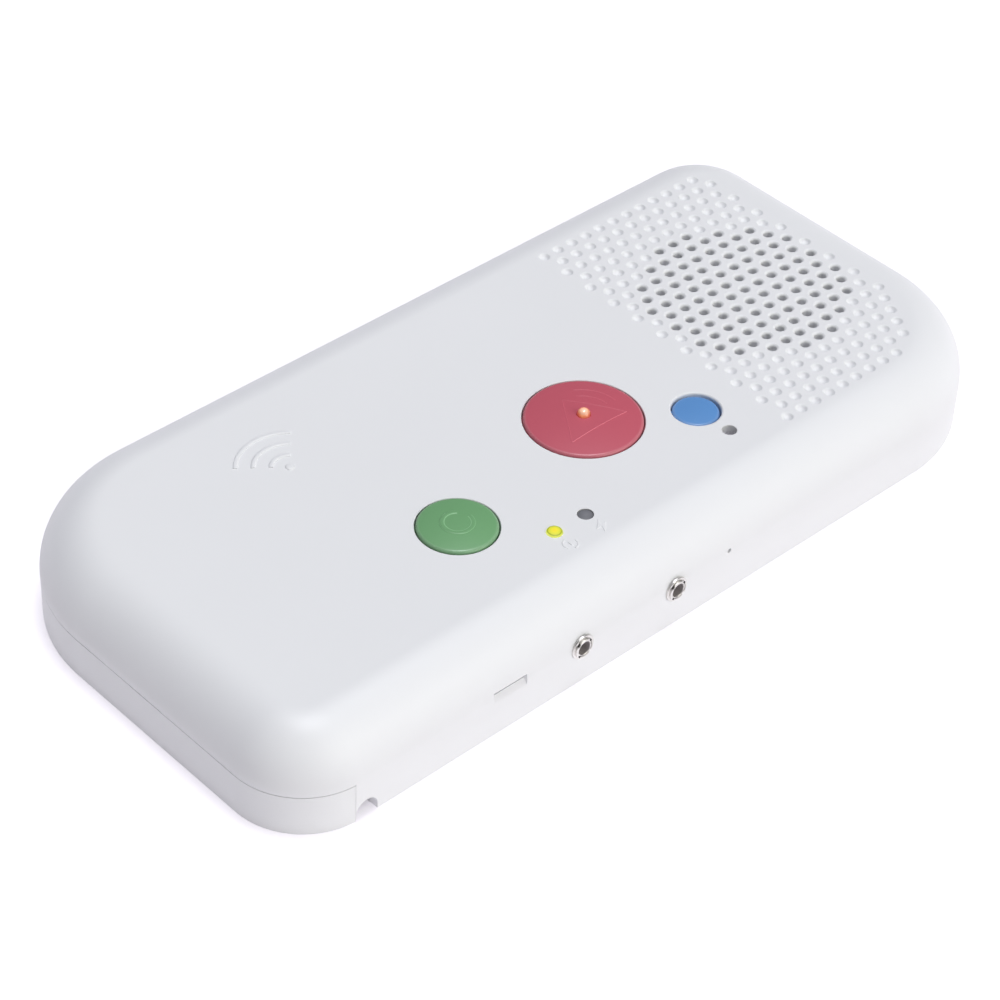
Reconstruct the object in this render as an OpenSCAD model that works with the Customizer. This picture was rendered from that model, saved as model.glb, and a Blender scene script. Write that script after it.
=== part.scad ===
// Nurse call room terminal, lying on its back, millimetres.
// X runs along the length towards the loudspeaker, Y across, Z out of the front face.
// The origin is at the centre of the back.

/* [Body] */
// Length of the terminal
body_l = 245.5; // [240:0.5:270]
// Width of the terminal
body_w = 119; // [117:0.5:130]
// Height from the back to the front face
body_h = 25.6; // [25:0.1:30]
// Radius of the two tight plan corners
tight_corner_r = 19.5; // [17:0.5:26]
// Radius of the two wide plan corners
wide_corner_r = 41.8; // [32:0.2:44]
// Rounding of the front edge
edge_r = 14; // [10:0.5:14]
// Height of the front cover above the seam
cover_h = 14.2; // [14.2:0.1:15]
// Wall of the front cover
cover_wall = 2.5; // [2.2:0.1:3]
// Wall of the rear cover
base_wall = 3.5; // [2.8:0.1:4]
// Floor of the rear cover
floor_t = 2.2; // [1.8:0.1:2.6]
// Step of the rear cover behind the front cover
base_step = 0.05; // [0:0.05:0.6]
// Open line between the two covers
seam_gap = 0.2; // [0.2:0.05:0.5]
// Open line at the ends of the front cover's skirt
skirt_gap = 0.1; // [0.1:0.02:0.3]
// Distance of the layout's datum from the loudspeaker end
datum_from_end = 122.75; // [120:0.25:126]

/* [Grille] */
// Place of the grille along the length, from the datum
grille_x = 78; // [74:0.5:82]
// Pitch of the grille holes
grille_pitch = 5; // [4.6:0.1:5.2]
// Diameter of a grille hole
grille_hole_d = 2.6; // [1.5:0.1:3]
// Radius of the pierced area in pitches
grille_rings = 5.4; // [4:0.1:5.5]
// Diameter of a dimple beside the pierced area
dimple_d = 3.3; // [2:0.1:3.6]
// Depth of a dimple
dimple_depth = 0.8; // [0.4:0.1:1]

/* [Buttons] */
// Place of the help button along the length, from the datum
help_x = 9.2; // [6:0.1:12]
// Place of the help button across the width
help_y = -11.7; // [-14:0.1:-8]
// Diameter of the help button
help_d = 29.6; // [26:0.1:32]
// Rise of the help button's edge over the front face
help_rise = 0.4; // [0:0.1:1]
// Height of the help button's crown over its edge
help_crown = 1.1; // [0.4:0.1:1.4]
// Place of the cancel button along the length, from the datum
cancel_x = -41; // [-44:0.1:-38]
// Place of the cancel button across the width
cancel_y = -21.5; // [-24:0.1:-18]
// Diameter of the cancel button
cancel_d = 19.6; // [17:0.1:22]
// Rise of the cancel button's edge over the front face
cancel_rise = 0.5; // [0:0.1:1]
// Height of the cancel button's crown over its edge
cancel_crown = 0.8; // [0.4:0.1:1.2]
// Place of the service button along the length, from the datum
service_x = 33; // [32:0.1:34]
// Place of the service button across the width
service_y = -26.8; // [-27:0.1:-25]
// Diameter of the service button
service_d = 11.8; // [11:0.1:12]
// Rise of the service button's edge over the front face
service_rise = -0.5; // [-0.8:0.1:0.4]
// Height of the service button's crown over its edge
service_crown = 0.3; // [0.2:0.1:0.6]
// Travel of each button
button_travel = 0.6; // [0.3:0.1:0.7]
// Gap round each button
button_gap = 0.35; // [0.3:0.05:0.6]
// Width of the hidden rim that keeps a button in
button_rim = 1; // [0.7:0.1:1.2]
// Thickness of a button's top and rim
button_t = 1.4; // [1:0.1:1.6]
// Rounding of a button's edge
button_edge_r = 0.6; // [0.2:0.1:1]

/* [Lamps and microphone] */
// Distance of the lamps and the microphone hole from the centre line
lamp_y = -37.7; // [-39:0.1:-36]
// Place of the lit lamp along the length, from the datum
lit_lamp_x = -25.2; // [-27:0.1:-23]
// Place of the unlit lamp along the length, from the datum
dark_lamp_x = -15.2; // [-17:0.1:-13]
// Diameter of a lamp
lamp_d = 3.7; // [3:0.1:4]
// Rise of the lit lamp over the front face
lit_rise = 0.6; // [0:0.1:0.8]
// Rise of the unlit lamp over the front face
dark_rise = 0; // [-0.2:0.1:0.8]
// Clearance between a lamp and its hole
lamp_gap = 0.15; // [0.1:0.05:0.3]
// Place of the microphone along the length, from the datum
mic_x = 33.4; // [32:0.1:35]
// Diameter of the microphone hole
mic_hole_d = 3.7; // [2:0.1:4]
// Diameter of the microphone boot
boot_d = 7.2; // [6.8:0.1:7.4]

/* [Side] */
// Place of the first call jack along the length, from the datum
jack_1_x = -36.2; // [-40:0.1:-32]
// Place of the second call jack along the length, from the datum
jack_2_x = -5.6; // [-9:0.1:-3]
// Bore of a call jack
jack_bore_d = 3.6; // [3.5:0.05:3.8]
// Outer diameter of a jack sleeve
sleeve_d = 4.4; // [4.2:0.1:4.8]
// Outer diameter of a jack ring nut
nut_d = 6.6; // [5.8:0.1:8]
// Outer diameter of the slotted collar on a jack ring nut
collar_d = 5.3; // [5:0.1:5.6]
// Thickness of a jack ring nut
nut_t = 1; // [0.8:0.1:1.6]
// Place of the pin hole along the length, from the datum
pin_x = 12.5; // [8:0.1:16]
// Diameter of the pin hole
pin_hole_d = 1.2; // [0.8:0.1:1.6]
// Place of the pry pocket along the length, from the datum
pocket_x = -58.6; // [-62:0.1:-54]
// Length of the pry pocket
pocket_l = 10.2; // [8:0.1:12]
// Depth of the pry pocket
pocket_depth = 1.6; // [1:0.1:1.8]
// Distance of the cable notch from the plain end
notch_x = 21.35; // [19.75:0.05:24.75]
// Width of the cable notch
notch_w = 6.2; // [5.6:0.1:7]
// Height of the cable notch
notch_h = 5; // [4.8:0.1:6]

/* [Loudspeaker] */
// Diameter of the loudspeaker
speaker_d = 57; // [55:0.5:58]
// Radius of the voice coil
coil_r = 9.4; // [9:0.1:9.6]
// Travel of the cone each way
cone_travel = 0.5; // [0.2:0.1:0.6]
// Thickness of the magnet
magnet_t = 3.5; // [2.5:0.1:4]

/* [Wall fixing] */
// Spacing of the wall fixing holes along the length
fixing_l = 160; // [150:1:164]
// Spacing of the wall fixing holes across the width
fixing_w = 72; // [60:1:76]
// Diameter of a wall fixing hole
fixing_hole_d = 4.5; // [3.5:0.1:5.5]
// Length of the wiring opening in the back
opening_l = 46; // [40:0.5:50]
// Width of the wiring opening in the back
opening_w = 30; // [26:0.5:34]

/* [Boards] */
// Thickness of the main board
board_t = 1.6; // [1.2:0.1:2]
// Thickness of the reader board
reader_t = 1.2; // [0.8:0.1:1.6]
// Diameter of a board screw
screw_d = 2.2; // [2:0.1:2.6]

/* [Hidden] */
$fn = 64;
// Facets round the wide spheres of the button crowns
crown_fn = 360;

// A cut runs past the face it opens by this much
past = 1;
// A boss or rib is rooted this far into the wall that carries it
root = 0.5;
// Running clearance between pieces that move past each other
clear = 0.3;
// Slip clearance between pieces that are pushed together
slip = 0.05;

// Levels
seam_z = body_h - cover_h;
ceiling_z = body_h - cover_wall;
jack_body_h = 6;
jack_z = seam_z;
board_under_z = jack_z + jack_body_h / 2;
board_top_z = board_under_z + board_t;

// The face and the boards are laid out from a datum that keeps its distance from the loudspeaker end
datum = [body_l / 2 - datum_from_end, 0];
speaker_x = datum.x + grille_x;
lit_x = datum.x + lit_lamp_x;
dark_x = datum.x + dark_lamp_x;
boot_x = datum.x + mic_x;
reset_x = datum.x + pin_x;
pry_x = datum.x + pocket_x;
call_1_x = datum.x + jack_1_x;
call_2_x = datum.x + jack_2_x;
cable_x = notch_x - body_l / 2;
help_place = [datum.x + help_x, help_y, 0];
cancel_place = [datum.x + cancel_x, cancel_y, 0];
service_place = [datum.x + service_x, service_y, 0];

// Plan corners run anticlockwise from the grille end: tight, wide, tight, wide
corner_sign = [[1, 1], [-1, 1], [-1, -1], [1, -1]];
function corner_r(i) = i % 2 == 0 ? tight_corner_r : wide_corner_r;
function corner_centre(i) = [
    corner_sign[i].x * (body_l / 2 - corner_r(i)),
    corner_sign[i].y * (body_w / 2 - corner_r(i))
];
function corner_ends(i, inset) =
    let (c = corner_centre(i), r = corner_r(i) - inset, s = corner_sign[i])
    let (on_x = [c.x + s.x * r, c.y], on_y = [c.x, c.y + s.y * r])
    i % 2 == 0 ? [on_x, on_y] : [on_y, on_x];

module plan_prism(inset, bottom, top) {
    translate([0, 0, bottom]) linear_extrude(top - bottom)
        polygon([for (i = [0:3]) each corner_ends(i, inset)]);
    for (i = [0:3])
        translate([each corner_centre(i), bottom]) cylinder(r = corner_r(i) - inset, h = top - bottom);
}

// Section of a wall with its outer top edge rounded
module edge_section(inner, outer, height, edge) {
    difference() {
        translate([inner, 0]) square([outer - inner, height]);
        translate([outer - edge, height - edge]) difference() {
            square(edge + past);
            circle(edge);
        }
    }
}

module side_along_x(from_x, to_x, outer, bottom, height, edge)
    translate([from_x, 0, bottom]) rotate([90, 0, 90])
        linear_extrude(to_x - from_x) edge_section(outer - edge - past, outer, height, edge);

module side_along_y(from_y, to_y, outer, bottom, height, edge)
    translate([0, to_y, bottom]) rotate([90, 0, 0])
        linear_extrude(to_y - from_y) edge_section(outer - edge - past, outer, height, edge);

// Block with the terminal's plan and a rounded front edge
module rounded_block(inset, bottom, top, edge) {
    height = top - bottom;
    half_l = body_l / 2 - inset;
    half_w = body_w / 2 - inset;
    plan_prism(inset + edge, bottom, top);
    for (i = [0:3])
        translate([each corner_centre(i), bottom]) rotate([0, 0, 90 * i])
            rotate_extrude(angle = 90) edge_section(0, corner_r(i) - inset, height, edge);
    side_along_x(corner_centre(1).x, corner_centre(0).x, half_w, bottom, height, edge);
    mirror([0, 1, 0]) side_along_x(corner_centre(2).x, corner_centre(3).x, half_w, bottom, height, edge);
    side_along_y(corner_centre(3).y, corner_centre(0).y, half_l, bottom, height, edge);
    mirror([1, 0, 0]) side_along_y(corner_centre(2).y, corner_centre(1).y, half_l, bottom, height, edge);
}

module box(from, to) translate(from) cube(to - from);

// Round bar from the front wall's outside inwards along Y
module bar_along_y(r, from_y, to_y, at_x, at_z)
    translate([at_x, to_y, at_z]) rotate([90, 0, 0]) cylinder(r = r, h = to_y - from_y);

module tube(outer_r, inner_r, h) difference() {
    cylinder(r = outer_r, h = h);
    translate([0, 0, -past]) cylinder(r = inner_r, h = h + 2 * past);
}

// Pan head screw, head down, with the head's seat at the origin
module screw(d, reach, head_d, head_h) {
    slot_w = d / 4;
    cylinder(d = d, h = reach);
    difference() {
        translate([0, 0, -head_h]) cylinder(d = head_d, h = head_h);
        for (turn = [0, 90])
            rotate([0, 0, turn]) translate([-d / 2, -slot_w / 2, -head_h - past])
                cube([d, slot_w, past + head_h / 2]);
    }
}

// Radius of the sphere whose cap is d wide and h high
function cap_r(d, h) = (d * d / 4 + h * h) / (2 * h);

// Spherical cap standing on the origin, with a root below it
module dome(d, h) {
    r = cap_r(d, h);
    rotate_extrude() intersection() {
        translate([0, h - r]) circle(r, $fn = crown_fn);
        translate([0, -root]) square([d / 2, h + root]);
    }
}

// Front cover
half_w = body_w / 2;
wall_in_y = -(half_w - cover_wall);
skirt_x0 = cable_x - notch_w / 2;
skirt_y1 = corner_centre(3).y;
skirt_z = seam_gap;
skirt_top_z = seam_z + (cover_h - edge_r) / 2;
lip_h = 2;
// The part of the plan that the front cover's skirt closes, widened by a margin
module skirt_part(margin, bottom)
    box([skirt_x0 - margin, -body_w, bottom], [body_l, skirt_y1 + margin, body_h]);

latch_w = 8;
latch_t = 1.6;
ledge_reach = 1.9;
ledge_h = 1.5;
ledge_z = seam_z + clear;
hook_h = 1.5;
hook_reach = 1.2;
latch_places = [
    [-35, half_w - cover_wall, 90],
    [55, half_w - cover_wall, 90],
    [body_l / 2 - cover_wall, 10, 0],
    [-(body_l / 2 - cover_wall), -10, 180]
];
module at_latches() {
    for (p = latch_places) translate([p.x, p.y, 0]) rotate([0, 0, p[2]]) children();
}
module latch_ledge()
    box([-ledge_reach, -latch_w / 2, ledge_z], [cover_wall / 2, latch_w / 2, ledge_z + ledge_h]);

boss_d = 6;
screw_hole_d = screw_d + 2 * slip;
pilot_depth = 5;
board_boss_places = [for (p = [[-65, -47], [40, -47], [-65, -8], [40, 34], [-20, 34]]) datum + p];
reader_x = -57;
reader_y = 21;
reader_centre = datum + [reader_x, reader_y];
reader_l = 44;
reader_w = 40;
reader_gap = 2.6;
reader_top_z = ceiling_z - reader_gap;
reader_boss_inset = 5;
reader_boss_from_centre = [reader_l / 2 - reader_boss_inset, reader_w / 2 - reader_boss_inset];
reader_boss_places = [
    for (side = [-1, 1]) reader_centre + [side * reader_boss_from_centre.x, reader_boss_from_centre.y]
];
module bosses(places, bottom) {
    for (p = places) translate([each p, bottom]) cylinder(d = boss_d, h = ceiling_z + root - bottom);
}
module pilots(places, bottom) {
    depth = min(pilot_depth, ceiling_z - bottom);
    for (p = places) translate([each p, bottom - past]) cylinder(d = screw_hole_d, h = depth + past);
}

// Grille lattice: columns run along X, odd columns shifted by half a pitch
column_step = grille_pitch * sqrt(3) / 2;
columns = 10;
full_columns = 5;
first_point = -6;
far_point = 5.5;
end_point = 2;
// Last point of each column in pitches: the columns towards the wide corner grow shorter
function last_point(i) =
    i == columns ? end_point : far_point - max(0, i - full_columns) / 2;
function lattice(i) =
    let (shift = i % 2 == 0 ? 0 : 0.5)
    [for (k = [first_point + shift:1:far_point]) if (k <= last_point(i)) [k, i]];
grille_points = [for (i = [-columns:columns]) each lattice(i)];
function point_place(q) = [speaker_x + q.x * grille_pitch, -q.y * column_step];
function pierced(q) = norm([q.x, q.y * sqrt(3) / 2]) < grille_rings;

dimple_r = cap_r(dimple_d, dimple_depth);
module grille_dimples() {
    for (q = grille_points) if (!pierced(q))
        translate([each point_place(q), body_h + dimple_r - dimple_depth]) sphere(r = dimple_r);
}
module face_hole(at, d)
    translate([at.x, at.y, ceiling_z - past]) cylinder(d = d, h = cover_wall + 2 * past);
module grille_holes() {
    for (q = grille_points) if (pierced(q)) face_hole(point_place(q), grille_hole_d);
}

relief_h = 0.25;
wave_place = datum + [-56.8, 20.7];
wave_line = 1.2;
wave_radii = [4.5, 8.8, 13];
wave_sweep = 90;
module arc_rib(r, line, sweep, height)
    rotate_extrude(angle = sweep) translate([r - line / 2, -root]) square([line, height + root]);
module wave_symbol() translate([each wave_place, body_h]) {
    translate([0, 0, -root]) cylinder(d = 2 * wave_line, h = root + relief_h);
    for (r = wave_radii) rotate([0, 0, 90 - wave_sweep / 2]) arc_rib(r, wave_line, wave_sweep, relief_h);
}

sign_drop = 5.4;
sign_y = lamp_y - sign_drop;
sign_r = 1.8;
sign_line = 0.5;
sign_stroke = 1.6;
// The open ring's two arcs, each with its start and its sweep
ring_arcs = [[95, 117], [265, 105]];
bolt_outline = [[1, 2.3], [-1.8, -0.3], [-0.2, -0.3], [-1, -2.3], [1.8, 0.4], [0.2, 0.4]];
module lamp_signs() {
    translate([lit_x, sign_y, body_h]) {
        for (arc = ring_arcs) rotate([0, 0, arc[0]]) arc_rib(sign_r, sign_line, arc[1], relief_h);
        box([-sign_line / 2, -sign_stroke / 2, -root], [sign_line / 2, sign_stroke / 2, relief_h]);
    }
    translate([dark_x, sign_y, body_h - root])
        linear_extrude(root + relief_h) polygon(bolt_outline);
}

pocket_rise = 1.9;
pocket_drop = 1.4;
pocket_z = seam_z + pocket_rise;
pocket_low_z = seam_z - pocket_drop;
// The pocket is deepest under its top edge and runs out to the wall below
module pry_pocket() {
    outer = -half_w - past;
    slope = (pocket_z - pocket_low_z) / pocket_depth;
    translate([pry_x - pocket_l / 2, 0, 0]) rotate([90, 0, 90]) linear_extrude(pocket_l) polygon([
        [outer, pocket_z], [-half_w + pocket_depth, pocket_z], [outer, pocket_low_z - slope * past]
    ]);
}

notch_depth = 8;
module cable_notch() {
    bar_along_y(notch_w / 2, -half_w - past, -half_w + notch_depth, cable_x, notch_h - notch_w / 2);
    box([cable_x - notch_w / 2, -half_w - past, -past],
        [cable_x + notch_w / 2, -half_w + notch_depth, notch_h - notch_w / 2]);
}

buttons = [[each help_place, help_d], [each cancel_place, cancel_d], [each service_place, service_d]];
jack_places = [call_1_x, call_2_x];
pin_rise = 1.5;
pin_z = seam_z + pin_rise;
module front_cover() color("white") difference() {
    union() {
        difference() {
            rounded_block(0, seam_z, body_h, edge_r);
            rounded_block(cover_wall, seam_z - past, ceiling_z, edge_r - cover_wall);
        }
        intersection() {
            difference() {
                plan_prism(0, skirt_z, skirt_top_z);
                plan_prism(cover_wall, 0, body_h);
            }
            skirt_part(0, 0);
        }
        bosses(board_boss_places, board_top_z);
        bosses(reader_boss_places, reader_top_z);
        bosses(clamp_places, flange_under_z);
        at_latches() latch_ledge();
        wave_symbol();
        lamp_signs();
    }
    grille_holes();
    grille_dimples();
    for (b = buttons) face_hole(b, b[3] + 2 * button_gap);
    for (x = [lit_x, dark_x]) face_hole([x, lamp_y], lamp_d + 2 * lamp_gap);
    face_hole([boot_x, lamp_y], mic_hole_d);
    for (x = jack_places) bar_along_y(sleeve_d / 2 + slip, -half_w - past, wall_in_y + past, x, jack_z);
    bar_along_y(pin_hole_d / 2, -half_w - past, wall_in_y + past, reset_x, pin_z);
    pry_pocket();
    cable_notch();
    pilots(board_boss_places, board_top_z);
    pilots(reader_boss_places, reader_top_z);
    pilots(clamp_places, flange_under_z);
}

// Rear cover
base_inset = base_step + base_wall;
base_top_z = seam_z - seam_gap;
lip_inset = cover_wall + clear;
upstand_inset = cover_wall + seam_gap;
upstand_t = 1.6;
upstand_h = 6;
fixing_boss_d = 11;
fixing_boss_h = 1.6;
fixing_places = [for (sx = [-1, 1], sy = [-1, 1]) [sx * fixing_l / 2, sy * fixing_w / 2]];
opening_centre = datum + [-52, 12];
module latch_arm() {
    face = -ledge_reach - clear;
    low = ledge_z + ledge_h + clear;
    translate([0, latch_w / 2, 0]) rotate([90, 0, 0]) linear_extrude(latch_w) polygon([
        [face - latch_t, floor_t - root], [face, floor_t - root], [face, low],
        [face + hook_reach, low], [face, low + hook_h], [face - latch_t, low + hook_h]
    ]);
}
module skirt_room() {
    difference() {
        skirt_part(skirt_gap, -past);
        plan_prism(upstand_inset, -2 * past, body_h + past);
    }
    skirt_part(skirt_gap, upstand_h);
}
module upstand() intersection() {
    difference() {
        plan_prism(upstand_inset, 0, upstand_h);
        plan_prism(upstand_inset + upstand_t, -past, body_h);
    }
    skirt_part(0, 0);
}
module latch_room()
    box([-base_inset - past, -latch_w / 2 - clear, base_top_z], [past, latch_w / 2 + clear, body_h]);
module at_fixings() {
    for (p = fixing_places) translate([each p, 0]) children();
}
module fixing_boss()
    translate([0, 0, floor_t - root]) cylinder(d = fixing_boss_d, h = root + fixing_boss_h);
module fixing_hole()
    translate([0, 0, -past]) cylinder(d = fixing_hole_d, h = floor_t + fixing_boss_h + 2 * past);
module wiring_opening() translate([each opening_centre, floor_t / 2])
    cube([opening_l, opening_w, floor_t + 2 * past], center = true);
module rear_cover() color("whitesmoke") difference() {
    union() {
        difference() {
            union() {
                plan_prism(base_step, 0, base_top_z);
                plan_prism(lip_inset, base_top_z - root, base_top_z + lip_h);
            }
            plan_prism(base_inset, floor_t, body_h);
            skirt_room();
            at_latches() latch_room();
        }
        upstand();
        at_latches() latch_arm();
        at_fixings() fixing_boss();
    }
    at_fixings() fixing_hole();
    wiring_opening();
    cable_notch();
}

// Buttons: cap, rim under the front face, stems down to the switch plungers
switch_side = 6;
switch_h = 3.5;
switch_bore_r = 2.1;
switch_bore_depth = 2.5;
plunger_gap = 0.35;
plunger_r = switch_bore_r - plunger_gap;
plunger_rise = 1;
plunger_in = 1.1;
switch_top_z = board_top_z + switch_h;
plunger_top_z = switch_top_z + plunger_rise;
rim_top_z = ceiling_z - clear;
rim_under_z = rim_top_z - button_t;
stem_d = 3.2;
// The crown starts this far inside the rounded edge
crown_flat = 0.2;
function crown_d(d) = d - 2 * (button_edge_r + crown_flat);
module button_cap(d, edge_z, crown, stems) {
    r = d / 2;
    difference() {
        union() {
            translate([0, 0, rim_under_z]) rotate_extrude()
                edge_section(0, r, edge_z - rim_under_z, button_edge_r);
            translate([0, 0, edge_z]) dome(crown_d(d), crown);
            translate([0, 0, rim_under_z]) cylinder(r = r + button_rim, h = button_t);
        }
        translate([0, 0, rim_under_z - past])
            cylinder(r = r - button_t, h = past + edge_z - button_t - rim_under_z);
    }
    for (p = stems) translate([p.x, p.y, plunger_top_z])
        cylinder(d = stem_d, h = edge_z - button_t / 2 - plunger_top_z);
}
// Marks stand this much over the crown that carries them
mark_h = 0.1;
mark_line = 0.35;
module on_crown(d, edge_z, crown) {
    r = cap_r(crown_d(d), crown);
    translate([0, 0, edge_z]) intersection() {
        children();
        translate([0, 0, crown - r]) sphere(r = r + mark_h, $fn = crown_fn);
    }
}
module bar_between(a, b, line, height)
    translate([a.x, a.y, -root]) rotate([0, 0, atan2(b.y - a.y, b.x - a.x)])
        translate([0, -line / 2, 0]) cube([norm(b - a), line, root + height]);
module switch_body() translate([0, 0, board_top_z]) difference() {
    translate([-switch_side / 2, -switch_side / 2, 0]) cube([switch_side, switch_side, switch_h]);
    translate([0, 0, switch_h - switch_bore_depth])
        cylinder(r = switch_bore_r, h = switch_bore_depth + past);
}
module switch_plunger()
    translate([0, 0, switch_top_z - plunger_in]) cylinder(r = plunger_r, h = plunger_in + plunger_rise);
dome_h = switch_bore_depth - plunger_in;
dome_t = 0.2;
module snap_dome() translate([0, 0, switch_top_z - switch_bore_depth]) rotate_extrude() polygon([
    [plunger_r, 0], [plunger_r, dome_t], [plunger_r / 2, dome_h], [0, dome_h],
    [0, dome_h - dome_t], [plunger_r / 2 - dome_t, dome_h - dome_t], [plunger_r - 2 * dome_t, 0]
]);

help_edge_z = body_h + help_rise;
help_top_z = help_edge_z + help_crown;
stem_share = 0.3;
help_stems = [for (side = [-1, 1]) [side * stem_share * help_d, 0]];
lens_d = 3.6;
lens_collar_d = 5;
lens_dome_h = 1.5;
lens_lift = 2.6;
lens_low_z = board_top_z + lens_lift;
triangle = [[-9.2, -5.6], [9.2, -5.6], [0, 7.6]];
call_radii = [7.4, 10.2];
call_turn = -4;
call_sweep = 64;
module help_marks() {
    height = help_crown + past;
    for (i = [0:2]) bar_between(triangle[i], triangle[(i + 1) % 3], mark_line, height);
    for (r = call_radii) rotate([0, 0, call_turn]) arc_rib(r, mark_line, call_sweep, height);
}
module help_button() color("indianred") translate(help_place) difference() {
    union() {
        button_cap(help_d, help_edge_z, help_crown, help_stems);
        on_crown(help_d, help_edge_z, help_crown) help_marks();
    }
    translate([0, 0, rim_under_z - past]) cylinder(d = lens_d + 2 * slip, h = body_h);
}
module help_lens() color("darkorange") translate(help_place) {
    translate([0, 0, lens_low_z]) cylinder(d = lens_d, h = help_top_z + slip - lens_low_z);
    translate([0, 0, help_top_z + slip]) dome(lens_d, lens_dome_h);
    translate([0, 0, help_edge_z - 2 * button_t]) cylinder(d = lens_collar_d, h = button_t);
}
module help_switches() color("dimgray") translate(help_place) {
    for (p = help_stems) translate([p.x, p.y, 0]) switch_body();
}
module help_plungers() color("black") translate(help_place) {
    for (p = help_stems) translate([p.x, p.y, 0]) switch_plunger();
}
module help_domes() color("silver") translate(help_place) {
    for (p = help_stems) translate([p.x, p.y, 0]) snap_dome();
}
help_lamp_size = [3.2, 2.8, 1.9];
help_lamp_rim = 0.3;
module help_lamp() color("lightyellow") translate(help_place) translate([0, 0, board_top_z]) difference() {
    translate([-help_lamp_size.x / 2, -help_lamp_size.y / 2, 0]) cube(help_lamp_size);
    translate([0, 0, help_lamp_size.z / 2])
        cylinder(d = help_lamp_size.y - 2 * help_lamp_rim, h = help_lamp_size.z);
}

cancel_edge_z = body_h + cancel_rise;
cancel_ring_r = 3.6;
cancel_ring_line = 1.3;
cancel_ring_turn = 50;
cancel_ring_sweep = 310;
module cancel_button() color("mediumseagreen") translate(cancel_place) {
    button_cap(cancel_d, cancel_edge_z, cancel_crown, [[0, 0]]);
    on_crown(cancel_d, cancel_edge_z, cancel_crown) rotate([0, 0, cancel_ring_turn])
        arc_rib(cancel_ring_r, cancel_ring_line, cancel_ring_sweep, cancel_crown + past);
}
module cancel_switch() color("dimgray") translate(cancel_place) switch_body();
module cancel_plunger() color("black") translate(cancel_place) switch_plunger();
module cancel_dome() color("silver") translate(cancel_place) snap_dome();

module service_button() color("cornflowerblue") translate(service_place)
    button_cap(service_d, body_h + service_rise, service_crown, [[0, 0]]);
module service_switch() color("dimgray") translate(service_place) switch_body();
module service_plunger() color("black") translate(service_place) switch_plunger();
module service_dome() color("silver") translate(service_place) snap_dome();

// Lamps and microphone
lamp_dome_h = 0.25;
lamp_lift = 4;
lamp_lip = 0.4;
lamp_flange_h = 1;
lamp_low_z = board_top_z + lamp_lift;
lamp_flange_d = lamp_d + 2 * lamp_lip;
module lamp(x, rise) translate([x, lamp_y, 0]) {
    shoulder_z = body_h + rise - lamp_dome_h;
    translate([0, 0, lamp_low_z]) cylinder(d = lamp_d, h = shoulder_z - lamp_low_z);
    translate([0, 0, shoulder_z]) dome(lamp_d, lamp_dome_h);
    translate([0, 0, lamp_low_z]) cylinder(d = lamp_flange_d, h = lamp_flange_h);
}
module lit_lamp() color("greenyellow") lamp(lit_x, lit_rise);
module dark_lamp() color("gray") lamp(dark_x, dark_rise);
module lamp_spacers() color("ivory") {
    for (x = [lit_x, dark_x])
        translate([x, lamp_y, board_top_z]) tube(lamp_flange_d / 2, lamp_d / 4, lamp_low_z - board_top_z);
}

capsule_d = 5;
capsule_h = 2.7;
capsule_gap = 1.2;
capsule_z = ceiling_z - capsule_gap - capsule_h;
module microphone() color("silver") translate([boot_x, lamp_y, capsule_z]) difference() {
    cylinder(d = capsule_d, h = capsule_h);
    translate([0, 0, capsule_h / 2]) cylinder(d = capsule_d / 5, h = capsule_h);
}
module microphone_boot() color("dimgray") translate([boot_x, lamp_y, 0]) difference() {
    translate([0, 0, board_top_z]) cylinder(d = boot_d, h = ceiling_z - board_top_z);
    translate([0, 0, capsule_z]) cylinder(d = capsule_d + 2 * slip, h = capsule_h + slip);
    translate([0, 0, capsule_z]) cylinder(d = capsule_d / 2, h = ceiling_z);
    translate([0, 0, board_top_z - past]) cylinder(d = capsule_d / 2, h = ceiling_z - board_top_z);
}

// Loudspeaker, built down from the front face
cloth_t = 0.3;
gasket_t = 1.2;
flange_t = 1;
speaker_r = speaker_d / 2;
flange_w = 3.3;
rim_r = speaker_r - flange_w;
speaker_top_z = ceiling_z - cloth_t - gasket_t;
flange_under_z = speaker_top_z - flange_t;
yoke_room = 2.2;
yoke_t = 1.5;
plate_t = 2;
// The basket takes up the height that the magnet leaves above the floor
basket_depth = speaker_top_z - floor_t - yoke_room - yoke_t - magnet_t - plate_t;
seat_z = -basket_depth;
clamp_ring_r = speaker_r + boss_d / 2 + clear;
clamp_places = [for (turn = [0, 120, 240]) [speaker_x, 0] + clamp_ring_r * [cos(turn), sin(turn)]];
module at_speaker(z) translate([speaker_x, 0, speaker_top_z + z]) children();

module grille_cloth() color("dimgray")
    translate([speaker_x, 0, ceiling_z - cloth_t]) cylinder(r = speaker_r, h = cloth_t);
module speaker_gasket() color("black") at_speaker(0) tube(speaker_r, rim_r, gasket_t);

basket_t = 0.8;
seat_w = 8.2;
coil_room = 0.8;
window_w = 12;
window_foot = 2;
seat_r = coil_r + seat_w;
module speaker_basket() color("slategray") at_speaker(0) difference() {
    rotate_extrude() polygon([
        [rim_r, 0], [speaker_r, 0], [speaker_r, -flange_t], [rim_r + 1, -flange_t],
        [seat_r, seat_z + 1], [seat_r, seat_z], [coil_r + coil_room, seat_z],
        [coil_r + coil_room, seat_z + basket_t], [seat_r - 1, seat_z + basket_t], [rim_r, -flange_t]
    ]);
    for (turn = [45:90:315]) rotate([0, 0, turn])
        box([seat_r, -window_w / 2, seat_z + window_foot],
            [speaker_r + past, window_w / 2, -flange_t - basket_t]);
}
roll_r = 1.2;
roll_t = 0.4;
roll_drop = 0.9;
module speaker_surround() color("black") at_speaker(-roll_drop) rotate_extrude()
    translate([rim_r - roll_r, 0]) intersection() {
        difference() {
            circle(roll_r);
            circle(roll_r - roll_t);
        }
        translate([-roll_r, 0]) square([2 * roll_r, roll_r]);
    }
spider_t = 0.4;
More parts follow.
